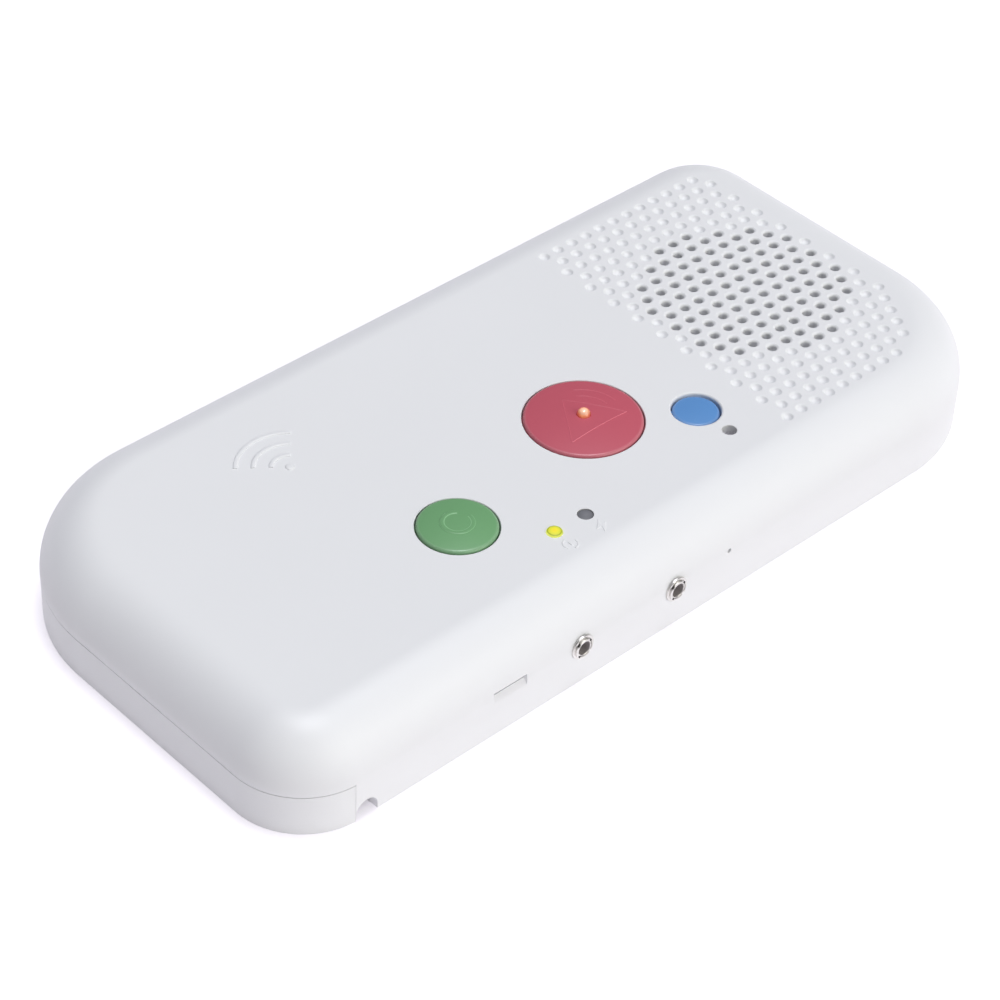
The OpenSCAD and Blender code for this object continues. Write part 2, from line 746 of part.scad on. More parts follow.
spider_gap = 0.4;
spider_w = 5;
spider_foot = 1.8;
spider_step_r = coil_r + spider_w;
spider_edge_r = spider_step_r + spider_foot;
module speaker_spider() color("goldenrod") at_speaker(seat_z + basket_t) rotate_extrude() polygon([
    [coil_r + spider_gap, spider_t], [spider_step_r - spider_t, spider_t], [spider_step_r - spider_t, 0],
    [spider_edge_r, 0], [spider_edge_r, spider_t], [spider_step_r, spider_t],
    [spider_step_r, 2 * spider_t], [coil_r + spider_gap, 2 * spider_t]
]);
cone_gap = 0.4;
cone_t = 0.6;
cone_lift = 2.4;
cone_edge_drop = 0.8;
coil_t = 1.3;
cone_edge_r = rim_r - 2 * roll_r - cone_gap;
cone_low_z = seat_z + cone_lift;
coil_in_r = coil_r - coil_t;
cap_h = 2.6;
module speaker_cone() color("darkslategray") at_speaker(0) rotate_extrude() polygon([
    [coil_in_r, cone_low_z], [coil_r, cone_low_z], [cone_edge_r, -cone_edge_drop - cone_t],
    [cone_edge_r, -cone_edge_drop], [coil_r - cone_t / 3, cone_low_z + cone_t],
    [coil_in_r, cone_low_z + cone_t]
]);
module dust_cap() color("black") at_speaker(cone_low_z + cone_t) {
    r = cap_r(2 * coil_in_r, cap_h);
    rotate_extrude() difference() {
        intersection() {
            translate([0, cap_h - r]) circle(r);
            square([r, cap_h]);
        }
        translate([0, cap_h - r]) circle(r - roll_t);
    }
}
coil_l = 5.8;
module voice_coil() color("peru") at_speaker(cone_low_z - coil_l) tube(coil_r, coil_in_r, coil_l);
plate_w = 5.6;
pole_gap = 0.5;
magnet_step = 1;
magnet_gap = 1.6;
plate_r = coil_r + plate_w;
magnet_z = seat_z - plate_t - magnet_t;
pole_r = coil_in_r - pole_gap;
module top_plate() color("silver") at_speaker(seat_z - plate_t) tube(plate_r, coil_r + pole_gap, plate_t);
module speaker_magnet() color("dimgray") at_speaker(magnet_z)
    tube(plate_r + magnet_step, coil_r + magnet_gap, magnet_t);
module speaker_yoke() color("silver") at_speaker(magnet_z - yoke_t) {
    cylinder(r = plate_r, h = yoke_t);
    cylinder(r = pole_r, h = yoke_t + magnet_t + plate_t);
}
clamp_t = 1;
clamp_lip = 1.5;
clamp_d = boss_d + 2 * clamp_lip;
module at_clamps() {
    for (p = clamp_places) translate([each p, flange_under_z - clamp_t]) children();
}
module speaker_clamps() color("silver") at_clamps() tube(clamp_d / 2, screw_hole_d / 2, clamp_t);
screw_head_d = 4.6;
screw_head_h = 1.6;
module speaker_screws() color("silver") at_clamps()
    screw(screw_d, clamp_t + ceiling_z - flange_under_z - slip, screw_head_d, screw_head_h);
tag_t = 1.2;
tag_w = 8;
tag_l = 1.8;
tag_inset = 0.2;
tag_x = speaker_x - speaker_r + tag_inset;
module speaker_terminals() color("tan")
    box([tag_x, -tag_w / 2, flange_under_z - tag_t], [tag_x + tag_l, tag_w / 2, flange_under_z]);
lead_r = 0.6;
lead_spread = 1.6;
lead_z = flange_under_z - tag_t - lead_r;
plug_x = datum.x + 38;
plug_l = 4.5;
plug_w = 6;
module speaker_plug() color("ivory")
    box([plug_x, -plug_w / 2, board_top_z], [plug_x + plug_l, plug_w / 2, lead_z + 2 * lead_r]);
module speaker_leads() color("firebrick") {
    for (y = [-lead_spread, lead_spread]) {
        translate([plug_x + plug_l, y, lead_z]) rotate([0, 90, 0])
            cylinder(r = lead_r, h = tag_x + tag_l / 2 - plug_x - plug_l);
        translate([tag_x + tag_l / 2, y, lead_z]) sphere(r = lead_r);
    }
}

// Boards
board_reach_plain = 70;
board_reach_grille = 44.5;
board_x0 = datum.x - board_reach_plain;
board_x1 = datum.x + board_reach_grille;
board_gap = 4;
board_y0 = wall_in_y + board_gap;
board_y1 = 39;
module main_board() color("darkgreen") difference() {
    box([board_x0, board_y0, board_under_z], [board_x1, board_y1, board_top_z]);
    for (p = board_boss_places) translate([each p, board_under_z - past])
        cylinder(d = screw_hole_d, h = board_t + 2 * past);
}
module board_screws() color("silver") {
    for (p = board_boss_places) translate([each p, board_under_z])
        screw(screw_d, board_t + pilot_depth - slip, screw_head_d, screw_head_h);
}
module block_at(centre, size, bottom)
    translate([centre.x - size.x / 2, centre.y - size.y / 2, bottom]) cube(size);
processor_place = datum + [-5, 18];
processor_size = [14, 14, 1.4];
module processor() color("black") block_at(processor_place, processor_size, board_top_z);
amplifier_place = datum + [33, 12];
amplifier_size = [6, 5, 1.6];
module amplifier() color("black") block_at(amplifier_place, amplifier_size, board_top_z);
transformer_place = datum + [-26, 2];
transformer_size = [12, 10, 5];
module network_transformer() color("black")
    block_at(transformer_place, transformer_size, board_under_z - transformer_size.z);
capacitor_d = 8;
capacitor_room = 2.2;
capacitor_h = board_under_z - floor_t - capacitor_room;
capacitor_places = [for (x = [16, 27]) datum + [x, 14]];
module capacitors() color("midnightblue") {
    for (p = capacitor_places)
        translate([each p, board_under_z - capacitor_h]) cylinder(d = capacitor_d, h = capacitor_h);
}
reader_under_z = reader_top_z - reader_t;
module reader_board() color("darkgreen") difference() {
    block_at(reader_centre, [reader_l, reader_w, reader_t], reader_under_z);
    for (p = reader_boss_places) translate([each p, reader_under_z - past])
        cylinder(d = screw_hole_d, h = reader_t + 2 * past);
}
header_l = 10;
header_w = 5;
header_inset = 4.5;
module reader_header() color("black") block_at(
    [reader_centre.x, reader_centre.y - reader_w / 2 + header_inset],
    [header_l, header_w, reader_under_z - board_top_z], board_top_z
);
module reader_screws() color("silver") {
    reach = reader_t + reader_gap - slip;
    for (p = reader_boss_places)
        translate([each p, reader_under_z]) screw(screw_d, reach, screw_head_d, screw_head_h);
}

// Wiring, hung under the main board above the wiring opening
socket_room = 1;
socket_l = 16;
socket_w = 16;
socket_h = board_under_z - floor_t - socket_room;
socket_x = -52;
socket_y = -6;
socket_place = datum + [socket_x, socket_y];
socket_floor = 1.5;
socket_roof = 2.7;
mouth_depth = 12;
mouth_w = 11.8;
mouth_h = socket_h - socket_floor - socket_roof;
module network_socket() color("silver")
    translate([each socket_place, board_under_z - socket_h]) difference() {
        cube([socket_l, socket_w, socket_h]);
        translate([-past, (socket_w - mouth_w) / 2, socket_floor])
            cube([mouth_depth + past, mouth_w, mouth_h]);
    }
ways = 6;
way_pitch = 3.5;
block_x = -62;
block_y = 14;
block_place = datum + [block_x, block_y];
block_w = 7.6;
block_h = 9;
wire_hole = 2.6;
wire_roof = 2;
wire_hole_z = block_h - wire_hole - wire_roof;
module at_ways() translate([each block_place, board_under_z - block_h]) {
    for (i = [0:ways - 1]) translate([(i + 0.5) * way_pitch, block_w / 2, 0]) children();
}
module terminal_block() color("seagreen") difference() {
    translate([each block_place, board_under_z - block_h]) cube([ways * way_pitch, block_w, block_h]);
    at_ways() {
        translate([-wire_hole / 2, 0, wire_hole_z]) cube([wire_hole, block_w, wire_hole]);
        translate([0, 0, -past]) cylinder(d = wire_hole, h = past + wire_hole_z);
    }
}
clamp_screw_sink = 1;
clamp_slot_w = 0.5;
clamp_slot_depth = 0.6;
module terminal_screws() color("silver") at_ways() translate([0, 0, clamp_screw_sink]) difference() {
    cylinder(d = wire_hole - 2 * slip, h = block_h / 3);
    translate([-wire_hole, -clamp_slot_w / 2, -past])
        cube([2 * wire_hole, clamp_slot_w, past + clamp_slot_depth]);
}

// Call jacks
jack_body_w = 8;
jack_body_l = 11;
sleeve_out = 0.9;
// The jack bodies stand clear of the inside of the rounded wall
jack_gap = 0.5;
jack_face_y = wall_in_y + jack_gap;
jack_cavity_step = 0.6;
jack_cavity_r = jack_bore_d / 2 + jack_cavity_step;
nut_flange_t = 0.5;
nut_slot = 0.8;
nut_slot_depth = 0.45;
module jack_body(x) difference() {
    box([x - jack_body_w / 2, jack_face_y, board_under_z - jack_body_h],
        [x + jack_body_w / 2, jack_face_y + jack_body_l, board_under_z]);
    bar_along_y(jack_cavity_r, jack_face_y - past, jack_face_y + jack_body_l - past, x, jack_z);
}
module jack_sleeve(x) difference() {
    bar_along_y(sleeve_d / 2, -half_w - sleeve_out, jack_face_y, x, jack_z);
    bar_along_y(jack_bore_d / 2, -half_w - sleeve_out - past, jack_face_y + past, x, jack_z);
}
module jack_nut(x) difference() {
    union() {
        bar_along_y(nut_d / 2, -half_w - nut_flange_t, -half_w, x, jack_z);
        bar_along_y(collar_d / 2, -half_w - nut_t, -half_w, x, jack_z);
    }
    bar_along_y(sleeve_d / 2 + slip, -half_w - nut_t - past, -half_w + past, x, jack_z);
    for (turn = [45, 135])
        translate([x, -half_w - nut_t, jack_z]) rotate([0, turn, 0])
            cube([nut_d + past, 2 * nut_slot_depth, nut_slot], center = true);
}
module jack_1_body() color("black") jack_body(call_1_x);
module jack_1_sleeve() color("silver") jack_sleeve(call_1_x);
module jack_1_nut() color("silver") jack_nut(call_1_x);
module jack_2_body() color("black") jack_body(call_2_x);
module jack_2_sleeve() color("silver") jack_sleeve(call_2_x);
module jack_2_nut() color("silver") jack_nut(call_2_x);

// Reset switch behind the pin hole
reset_gap = 0.8;
reset_rise = 1.4;
reset_in = 0.9;
reset_travel = 0.3;
reset_r = 0.8;
reset_size = [6, 4, 3.2];
reset_tip_y = wall_in_y + reset_gap;
reset_face_y = reset_tip_y + reset_rise;
reset_bore_y = reset_face_y + reset_in + reset_travel + clear;
module reset_switch() color("dimgray") difference() {
    box([reset_x - reset_size.x / 2, reset_face_y, board_under_z - reset_size.z],
        [reset_x + reset_size.x / 2, reset_face_y + reset_size.y, board_under_z]);
    bar_along_y(reset_r + clear, reset_face_y - past, reset_bore_y, reset_x, pin_z);
}
module reset_plunger() color("black")
    bar_along_y(reset_r, reset_tip_y, reset_face_y + reset_in, reset_x, pin_z);

front_cover();
rear_cover();
help_button();
help_lens();
help_switches();
help_plungers();
help_domes();
help_lamp();
cancel_button();
cancel_switch();
cancel_plunger();
cancel_dome();
service_button();
service_switch();
service_plunger();
service_dome();
lit_lamp();
dark_lamp();
lamp_spacers();
microphone();
microphone_boot();
grille_cloth();
speaker_gasket();
speaker_basket();
speaker_surround();
speaker_spider();
speaker_cone();
dust_cap();
voice_coil();
top_plate();
speaker_magnet();
speaker_yoke();
speaker_clamps();
speaker_screws();
speaker_terminals();
speaker_leads();
speaker_plug();
main_board();
board_screws();
processor();
amplifier();
network_transformer();
capacitors();
reader_board();
reader_header();
reader_screws();
network_socket();
terminal_block();
terminal_screws();
jack_1_body();
jack_1_sleeve();
jack_1_nut();
jack_2_body();
jack_2_sleeve();
jack_2_nut();
reset_switch();
reset_plunger();
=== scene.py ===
"""Looks of the nurse call room terminal: a white hands-free terminal that lies on its back."""

from math import atan2, cos, hypot, pi, radians, sin, sqrt

import bmesh
import bpy
from mathutils import Matrix, Vector


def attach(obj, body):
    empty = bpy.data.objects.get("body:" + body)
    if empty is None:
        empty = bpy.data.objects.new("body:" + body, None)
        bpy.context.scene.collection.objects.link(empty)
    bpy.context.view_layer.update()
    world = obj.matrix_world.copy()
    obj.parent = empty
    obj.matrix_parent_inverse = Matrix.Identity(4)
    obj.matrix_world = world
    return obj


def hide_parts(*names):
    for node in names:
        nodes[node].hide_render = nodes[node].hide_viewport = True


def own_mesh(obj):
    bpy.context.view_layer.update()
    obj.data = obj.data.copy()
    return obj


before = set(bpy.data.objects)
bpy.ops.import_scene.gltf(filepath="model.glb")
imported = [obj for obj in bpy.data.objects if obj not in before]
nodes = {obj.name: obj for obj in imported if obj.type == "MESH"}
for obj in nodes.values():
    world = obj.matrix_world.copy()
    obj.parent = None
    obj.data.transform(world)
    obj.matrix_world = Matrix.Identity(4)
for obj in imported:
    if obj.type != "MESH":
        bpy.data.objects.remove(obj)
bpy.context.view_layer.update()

MM = 0.001
MERGE = 0.002 * MM


# Finishes

class Value:
    """A socket of a finish, with the operators that its expressions use."""

    def __init__(self, finish, socket):
        self.finish = finish
        self.socket = socket

    def math(self, operation, *inputs):
        return self.finish.node("Math", {"operation": operation}, dict(enumerate(inputs)))

    def __add__(self, other):
        return self.math("ADD", self, other)

    def __sub__(self, other):
        return self.math("SUBTRACT", self, other)

    def __rsub__(self, other):
        return self.math("SUBTRACT", other, self)

    def __mul__(self, other):
        return self.math("MULTIPLY", self, other)

    def __gt__(self, other):
        return self.math("GREATER_THAN", self, other)

    def __lt__(self, other):
        return self.math("LESS_THAN", self, other)

    __rmul__ = __mul__

    def sine(self):
        return self.math("SINE", self)

    def size(self):
        return self.math("ABSOLUTE", self)

    def root(self):
        return self.math("SQRT", self)


class Finish:
    """A procedural finish, built node by node."""

    def __init__(self, name):
        self.material = bpy.data.materials.new(name)
        self.material.use_nodes = True
        self.tree = self.material.node_tree
        self.tree.nodes.clear()
        self.place = self.node("TexCoord", out="Object")

    def node(self, kind, settings=None, inputs=None, out=0):
        made = self.tree.nodes.new("ShaderNode" + kind)
        for key, setting in (settings or {}).items():
            if key == "stops":
                self.set_stops(made.color_ramp, setting)
            else:
                setattr(made, key, setting)
        for key, given in (inputs or {}).items():
            if isinstance(given, Value):
                self.tree.links.new(given.socket, made.inputs[key])
            else:
                made.inputs[key].default_value = given
        return Value(self, made.outputs[out])

    @staticmethod
    def set_stops(ramp, stops):
        while len(ramp.elements) < len(stops):
            ramp.elements.new(0.5)
        for element, (position, colour) in zip(ramp.elements, stops):
            element.position = position
            element.color = (*colour, 1)

    def axes(self, centre=(0, 0, 0)):
        """The coordinates in millimetres from a centre in millimetres."""
        moved = self.node("VectorMath", {"operation": "SUBTRACT"},
                          {0: self.place, 1: [c * MM for c in centre]})
        split = self.node("SeparateXYZ", inputs={0: moved}).socket.node
        return [Value(self, output) * (1 / MM) for output in split.outputs]

    def noise(self, per_mm, detail=2.0, roughness=0.5, stretch=(1, 1, 1)):
        scale = [s * per_mm / MM for s in stretch]
        spread = self.node("Mapping", inputs={"Vector": self.place, "Scale": scale})
        return self.node("TexNoise", inputs={"Vector": spread, "Scale": 1.0, "Detail": detail,
                                             "Roughness": roughness})

    def cells(self, per_mm):
        return self.node("TexVoronoi", inputs={"Vector": self.place, "Scale": per_mm / MM}, out="Distance")

    def ramp(self, factor, stops):
        return self.node("ValToRGB", {"stops": stops}, {"Fac": factor})

    def span(self, value, low, high, to_low=0.0, to_high=1.0):
        return self.node("MapRange", {"clamp": True}, {0: value, 1: low, 2: high, 3: to_low, 4: to_high})

    def mix(self, factor, first, second):
        sockets = {0: factor}
        for key, colour in ((6, first), (7, second)):
            sockets[key] = colour if isinstance(colour, Value) else (*colour, 1)
        return self.node("Mix", {"data_type": "RGBA"}, sockets, out=2)

    def bump(self, height, strength, distance):
        return self.node("Bump", inputs={"Height": height, "Strength": strength, "Distance": distance * MM})

    def surface(self, **inputs):
        sockets = {key.replace("_", " "): given for key, given in inputs.items()}
        for key in ("Base Color", "Emission Color"):
            if key in sockets and not isinstance(sockets[key], Value):
                sockets[key] = (*sockets[key], 1)
        shader = self.node("BsdfPrincipled", inputs=sockets)
        self.show(shader)
        return self.material

    def show(self, shader):
        output = self.tree.nodes.new("ShaderNodeOutputMaterial")
        self.tree.links.new(shader.socket, output.inputs["Surface"])


def shade(colour, factor):
    return tuple(min(1.0, c * factor) for c in colour)


FLOW_PER_MM = 0.02
GRAIN_PER_MM = 4.0
PLASTIC_IOR = 1.49
PLASTIC_SHINE = 0.42


def moulding(f, colour, roughness, tone, per_mm):
    """The spark grain of a moulding, with the colour and the gloss that grain and flow tone vary."""
    flow = f.noise(FLOW_PER_MM, 3.0)
    speck = f.noise(per_mm, 3.0, 0.6)
    body = f.mix(flow, shade(colour, 1 - tone), shade(colour, 1 + tone))
    body = f.mix(f.span(speck, 0.35, 0.75, 0.0, 0.35), body, shade(colour, 1 - 2 * tone))
    gloss = f.span(flow + 0.5 * speck, 0.4, 1.1, roughness - 0.05, roughness + 0.06)
    return speck, body, gloss


def plastic(f, speck, body, gloss, grain, per_mm):
    """The surface of a moulding, with the height of its grain in millimetres."""
    height = speck + 0.6 * f.noise(3 * per_mm, 1.0)
    return f.surface(Base_Color=body, Roughness=gloss, Normal=f.bump(height, 0.35, grain),
                     IOR=PLASTIC_IOR, Specular_IOR_Level=PLASTIC_SHINE)


def moulded(name, colour, roughness=0.45, grain=0.012, tone=0.03, per_mm=GRAIN_PER_MM):
    """Moulded plastic: fine spark grain, slight flow tone and a little variation in gloss."""
    f = Finish(name)
    speck, body, gloss = moulding(f, colour, roughness, tone, per_mm)
    return plastic(f, speck, body, gloss, grain, per_mm)


CAP_ROUGHNESS = 0.4
CAP_TONE = 0.03
CAP_GRAIN = 0.008
# Where each painted highlight starts and is full, in millimetres: in from the rim, and up from the dome
EDGE_HIGHLIGHT = (0.85, 0.45)
MARKED_AREA = (1.0, 1.2)
MARK_FOOT = (0.025, 0.07)
MARK_TOP = (0.105, 0.09)


def pressed_cap(name, colour, crown):
    """Moulded cap of a button: fine grain, with painted highlights on its rounded edge and on the tops of
    its raised marks.
    """
    f = Finish(name)
    x, y, z = f.axes((*crown.place, crown.low))
    away = x * x + y * y
    over = z - (crown.ball ** 2 - away).root()
    away = away.root()
    speck, body, gloss = moulding(f, colour, CAP_ROUGHNESS, CAP_TONE, GRAIN_PER_MM)
    edge = f.span(away, *[crown.r - inward for inward in EDGE_HIGHLIGHT])
    on_dome = f.span(away, *[crown.r - inward for inward in MARKED_AREA])
    mark = f.span(over, *MARK_FOOT) * f.span(over, *MARK_TOP) * on_dome
    # Painted highlights: the rounded edge and the tops of the raised marks are painted lighter
    pale = [c + 0.34 * (1 - c) for c in colour]
    mark_highlight = [min(1.0, 1.35 * c + 0.07) for c in colour]
    body = f.mix(edge * f.span(speck, 0.2, 0.6, 0.1, 0.26), body, pale)
    body = f.mix(mark * 0.8, body, mark_highlight)
    return plastic(f, speck, body, gloss - 0.12 * edge, CAP_GRAIN, GRAIN_PER_MM)


BRUSH_PER_MM = 1.2
STAIN_PER_MM = 0.12
PAINT_PAST = 0.02


def metal(name, colour, roughness=0.25):
    """Plated or turned metal: fine brush lines and soft stains."""
    f = Finish(name)
    lines = f.noise(BRUSH_PER_MM, 4.0, 0.65, (1, 1, 12))
    stain = f.noise(STAIN_PER_MM, 3.0)
    body = f.mix(f.span(stain, 0.3, 0.75), colour, shade(colour, 0.8))
    gloss = f.span(lines + stain, 0.6, 1.4, roughness - 0.07, roughness + 0.12)
    return f.surface(Base_Color=body, Metallic=1.0, Roughness=gloss, Normal=f.bump(lines, 0.25, 0.01))


def jack_metal(name, colour, bore):
    """Satin nickel with turning marks, dull and brown inside the bores, and with painted shade in the nuts'
    slots.
    """
    f = Finish(name)
    bores, slots = [], []
    for jack_x in JACKS:
        x, y, z = f.axes((jack_x, NUT_FRONT, JACK_Z))
        away = (x * x + z * z).root()
        cross = ((x + z).size() < SLOT_SPAN) + ((x - z).size() < SLOT_SPAN)
        bores.append(away < BORE_R + PAINT_PAST)
        slots.append((cross > 0.5) * (away > SLEEVE_R + PAINT_PAST) * (y > SLOT_FROM) * (y < SLOT_TO))
    inside, slot = sum(bores[1:], bores[0]), sum(slots[1:], slots[0])
    lines = f.noise(BRUSH_PER_MM, 4.0, 0.65, (1, 10, 1))
    stain = f.noise(STAIN_PER_MM, 3.0)
    body = f.mix(f.span(stain, 0.3, 0.75), colour, shade(colour, 0.85))
    body = f.mix(inside, body, f.mix(lines, bore, shade(bore, 1.3)))
    # Painted shade: the nuts' slots are painted dark
    body = f.mix(slot, body, shade(bore, 0.25))
    gloss = f.span(lines + stain, 0.6, 1.4, 0.28, 0.42) + 0.3 * inside
    return f.surface(Base_Color=body, Metallic=1 - 0.8 * inside, Roughness=gloss,
                     Normal=f.bump(lines, 0.25, 0.01))


def rubbery(name, colour, roughness=0.75, per_mm=2.5):
    """Rubber or foam: open pores and a dusty bloom."""
    f = Finish(name)
    pores = f.cells(per_mm)
    bloom = f.noise(0.25, 4.0)
    body = f.mix(f.span(bloom, 0.35, 0.8), colour, shade(colour, 1.7))
    gloss = f.span(bloom, 0.2, 0.8, roughness - 0.1, roughness + 0.1)
    return f.surface(Base_Color=body, Roughness=gloss, Normal=f.bump(pores, 0.5, 0.03))


TRACK_PITCH = 1.3
THREAD_PITCH = 0.45
WIRE_PITCH = 0.22


def circuit_board(name):
    """Solder mask over copper: tracks that run in two directions, plated holes and a fine gloss."""
    f = Finish(name)
    x, y, _ = f.axes()
    along = (x * (pi / TRACK_PITCH)).sine()
    across = (y * (pi / TRACK_PITCH)).sine()
    zone = f.noise(0.05, 1.0, 0.3) > 0.5
    track = f.span(zone * along + (1 - zone) * across, 0.35, 0.55)
    pads = f.cells(0.28) < 0.16
    mask = f.mix(track, (0.005, 0.075, 0.03), (0.012, 0.15, 0.055))
    body = f.mix(pads, mask, (0.62, 0.60, 0.55))
    gloss = f.span(f.noise(1.5, 3.0), 0.3, 0.7, 0.22, 0.4)
    return f.surface(Base_Color=body, Metallic=pads * 0.9, Roughness=gloss,
                     Normal=f.bump(track + pads, 0.4, 0.03))


def woven(name, colour):
    """Open woven cloth: threads pass over and under each other, with painted shade where the weave sinks.
    """
    f = Finish(name)
    x, y, _ = f.axes()
    warp = (x * (pi / THREAD_PITCH)).sine()
    weft = (y * (pi / THREAD_PITCH)).sine()
    over = warp * weft
    thread = f.span((warp.size() + weft.size()) * 0.5, 0.25, 0.9)
    # Painted shade: the weave is painted darker where it sinks between threads
    body = f.mix(thread, shade(colour, 0.25), colour)
    body = f.mix(f.span(f.noise(1.5, 3.0), 0.3, 0.8, 0.0, 0.3), body, shade(colour, 1.5))
    return f.surface(Base_Color=body, Roughness=0.9, Normal=f.bump(over + thread, 0.7, 0.12))


def pulp(name, colour):
    """Pressed paper pulp with fibres and a rough, matt face."""
    f = Finish(name)
    fibres = f.noise(1.4, 5.0, 0.7, (1, 3, 1))
    body = f.mix(f.span(fibres, 0.35, 0.7), shade(colour, 0.6), shade(colour, 1.5))
    return f.surface(Base_Color=body, Roughness=f.span(fibres, 0.2, 0.8, 0.75, 0.95),
                     Normal=f.bump(fibres, 0.6, 0.06))


def wound(name, colour):
    """Enamelled copper wire, turn beside turn, with painted shade between the turns."""
    f = Finish(name)
    _, _, z = f.axes()
    turns = (z * (2 * pi / WIRE_PITCH)).sine()
    # Painted shade: the troughs between turns are painted darker
    body = f.mix(f.span(turns, -1.0, 1.0), shade(colour, 0.35), colour)
    body = f.mix(f.span(f.noise(0.6, 3.0), 0.3, 0.8, 0.0, 0.4), body, shade(colour, 0.7))
    return f.surface(Base_Color=body, Metallic=0.9, Roughness=f.span(turns, -1.0, 1.0, 0.45, 0.25),
                     Normal=f.bump(turns, 0.6, 0.06))


def glowing_lens(name, centre, reach):
    """A clear lens with its lamp alight behind it: pale in the middle, with a dull band round it, and
    deep amber at the rim, which is a painted reflection of the red cap round the lens."""
    f = Finish(name)
    x, y, z = f.axes(centre)
    away = (x * x + y * y).root() * (1 / reach)
    away = away + 0.2 * (f.noise(0.8, 2.0) - 0.5)
    band = f.span(z, *BAND_LOW) * f.span(z, *BAND_HIGH)
    # Painted reflection: glow and colour turn deep red towards the rim, for the red cap round the lens
    glow = f.ramp(away, [(0.0, (0.90, 0.62, 0.44)), (0.48, (0.88, 0.52, 0.33)), (0.66, (0.76, 0.25, 0.09)),
                         (0.8, (0.52, 0.07, 0.03)), (1.0, (0.25, 0.02, 0.02))])
    body = f.ramp(away, [(0.0, (0.62, 0.44, 0.34)), (0.7, (0.50, 0.18, 0.10)), (1.0, (0.25, 0.03, 0.03))])
    glow = f.mix(band * 0.5, glow, (0.42, 0.24, 0.18))
    return f.surface(Base_Color=body, Roughness=f.span(f.noise(1.2), 0.3, 0.7, 0.14, 0.24),
                     Emission_Color=glow, Emission_Strength=0.62, Coat_Weight=0.3)


def lamp_glass(name, centre, reach, glow, strength, colour):
    """A round light guide: brightest over the die, darker round its edge and down its side."""
    f = Finish(name)
    x, y, z = f.axes(centre)
    away = (x * x + y * y).root() * (1 / reach) + 0.1 * (f.noise(1.0, 2.0) - 0.5)
    top = f.ramp(away, glow)
    lit = f.mix(f.span(z, *LAMP_SIDE), glow[-1][1], top)
    return f.surface(Base_Color=f.mix(f.span(away, 0.2, 1.0), colour, shade(colour, 0.75)),
                     Roughness=f.span(f.noise(1.2), 0.3, 0.7, 0.3, 0.45), Emission_Color=lit,
                     Emission_Strength=strength, Specular_IOR_Level=0.3)


# Places and sizes that finishes and pieces share, in millimetres

LIT_LAMP = (-25.2, -37.7, 26.2)
DARK_LAMP = (-15.2, -37.7, 25.6)
LAMP_R = 1.85
LAMP_SIDE = (-0.33, -0.27)
JACKS = (-36.2, -5.6)
JACK_Z = 11.4
BORE_R = 1.8
SLEEVE_R = 2.2
NUT_R = 3.3
NUT_SLOT = 0.8
NUT_FRONT = -60.5
# Where the painted shade in the nuts' slots lies: its reach across a slot, and how far behind the nut's
# front it starts and ends
SLOT_SPAN = 0.75 * NUT_SLOT
SLOT_FROM = 0.08
SLOT_TO = 0.48
FACE = 25.6
RIM_TOP = 22.8
RIM_UNDER = 21.4
RIM = 1.0
CAP_WALL = 1.4
CAP_EDGE_R = 0.8
ROOF_CHAMFER = 0.5
CROWN_STEPS = 16
BEND_STEPS = 8
MEET_ROUNDS = 8
ROUND_STEPS = 32
SLIP = 0.05


class Crown:
    """The domed top of a button: its place, radius and edge height, and where the dome's ball lies."""

    def __init__(self, place, r, edge, rise):
        self.place, self.r, self.edge = place, r, edge
        reach = r - CAP_EDGE_R
        self.ball = (reach * reach + rise * rise) / (2 * rise)
        self.low = edge + rise - self.ball

    def height(self, away):
        return self.low + sqrt(self.ball * self.ball - away * away)

    def profile(self, bore=0.0):
        """Outline of a cap from its bore over the dome and the rounded edge to its rim and its hollow."""
        lean = 0.0
        for _ in range(MEET_ROUNDS):
            meet = self.r - CAP_EDGE_R + CAP_EDGE_R * lean
            lean = meet / self.ball
        start = radians(90) - atan2(lean, sqrt(1 - lean * lean))
        turn_z = self.height(meet) - CAP_EDGE_R * sin(start)
        dome = [bore + (meet - bore) * step / CROWN_STEPS for step in range(CROWN_STEPS + 1)]
        top = [(away, self.height(away)) for away in dome]
        edge = [start * (1 - step / BEND_STEPS) for step in range(1, BEND_STEPS + 1)]
        bend = [(self.r - CAP_EDGE_R + CAP_EDGE_R * cos(t), turn_z + CAP_EDGE_R * sin(t)) for t in edge]
        inner, roof = self.r - CAP_WALL, self.edge - CAP_WALL
        foot = [(self.r, RIM_TOP), (self.r + RIM, RIM_TOP), (self.r + RIM, RIM_UNDER), (inner, RIM_UNDER),
                (inner, roof - ROOF_CHAMFER), (inner - ROOF_CHAMFER, roof), (bore, roof)]
        return [*top, *bend, *foot, *([top[0]] if bore else [])]


help_crown = Crown((9.2, -11.7), 14.8, FACE + 0.4, 1.1)
cancel_crown = Crown((-41.0, -21.5), 9.8, FACE + 0.5, 0.8)
service_crown = Crown((33.0, -26.8), 5.9, FACE - 0.5, 0.3)
LENS_R = 1.8
LENS_TOP = 28.65
GLOW_SHIFT = -0.3
BAND_LOW = (-0.85, -0.7)
BAND_HIGH = (-0.3, -0.42)
glow_place = (*(p + GLOW_SHIFT for p in help_crown.place), LENS_TOP)


# Finish of each material, under the name that the solids give it

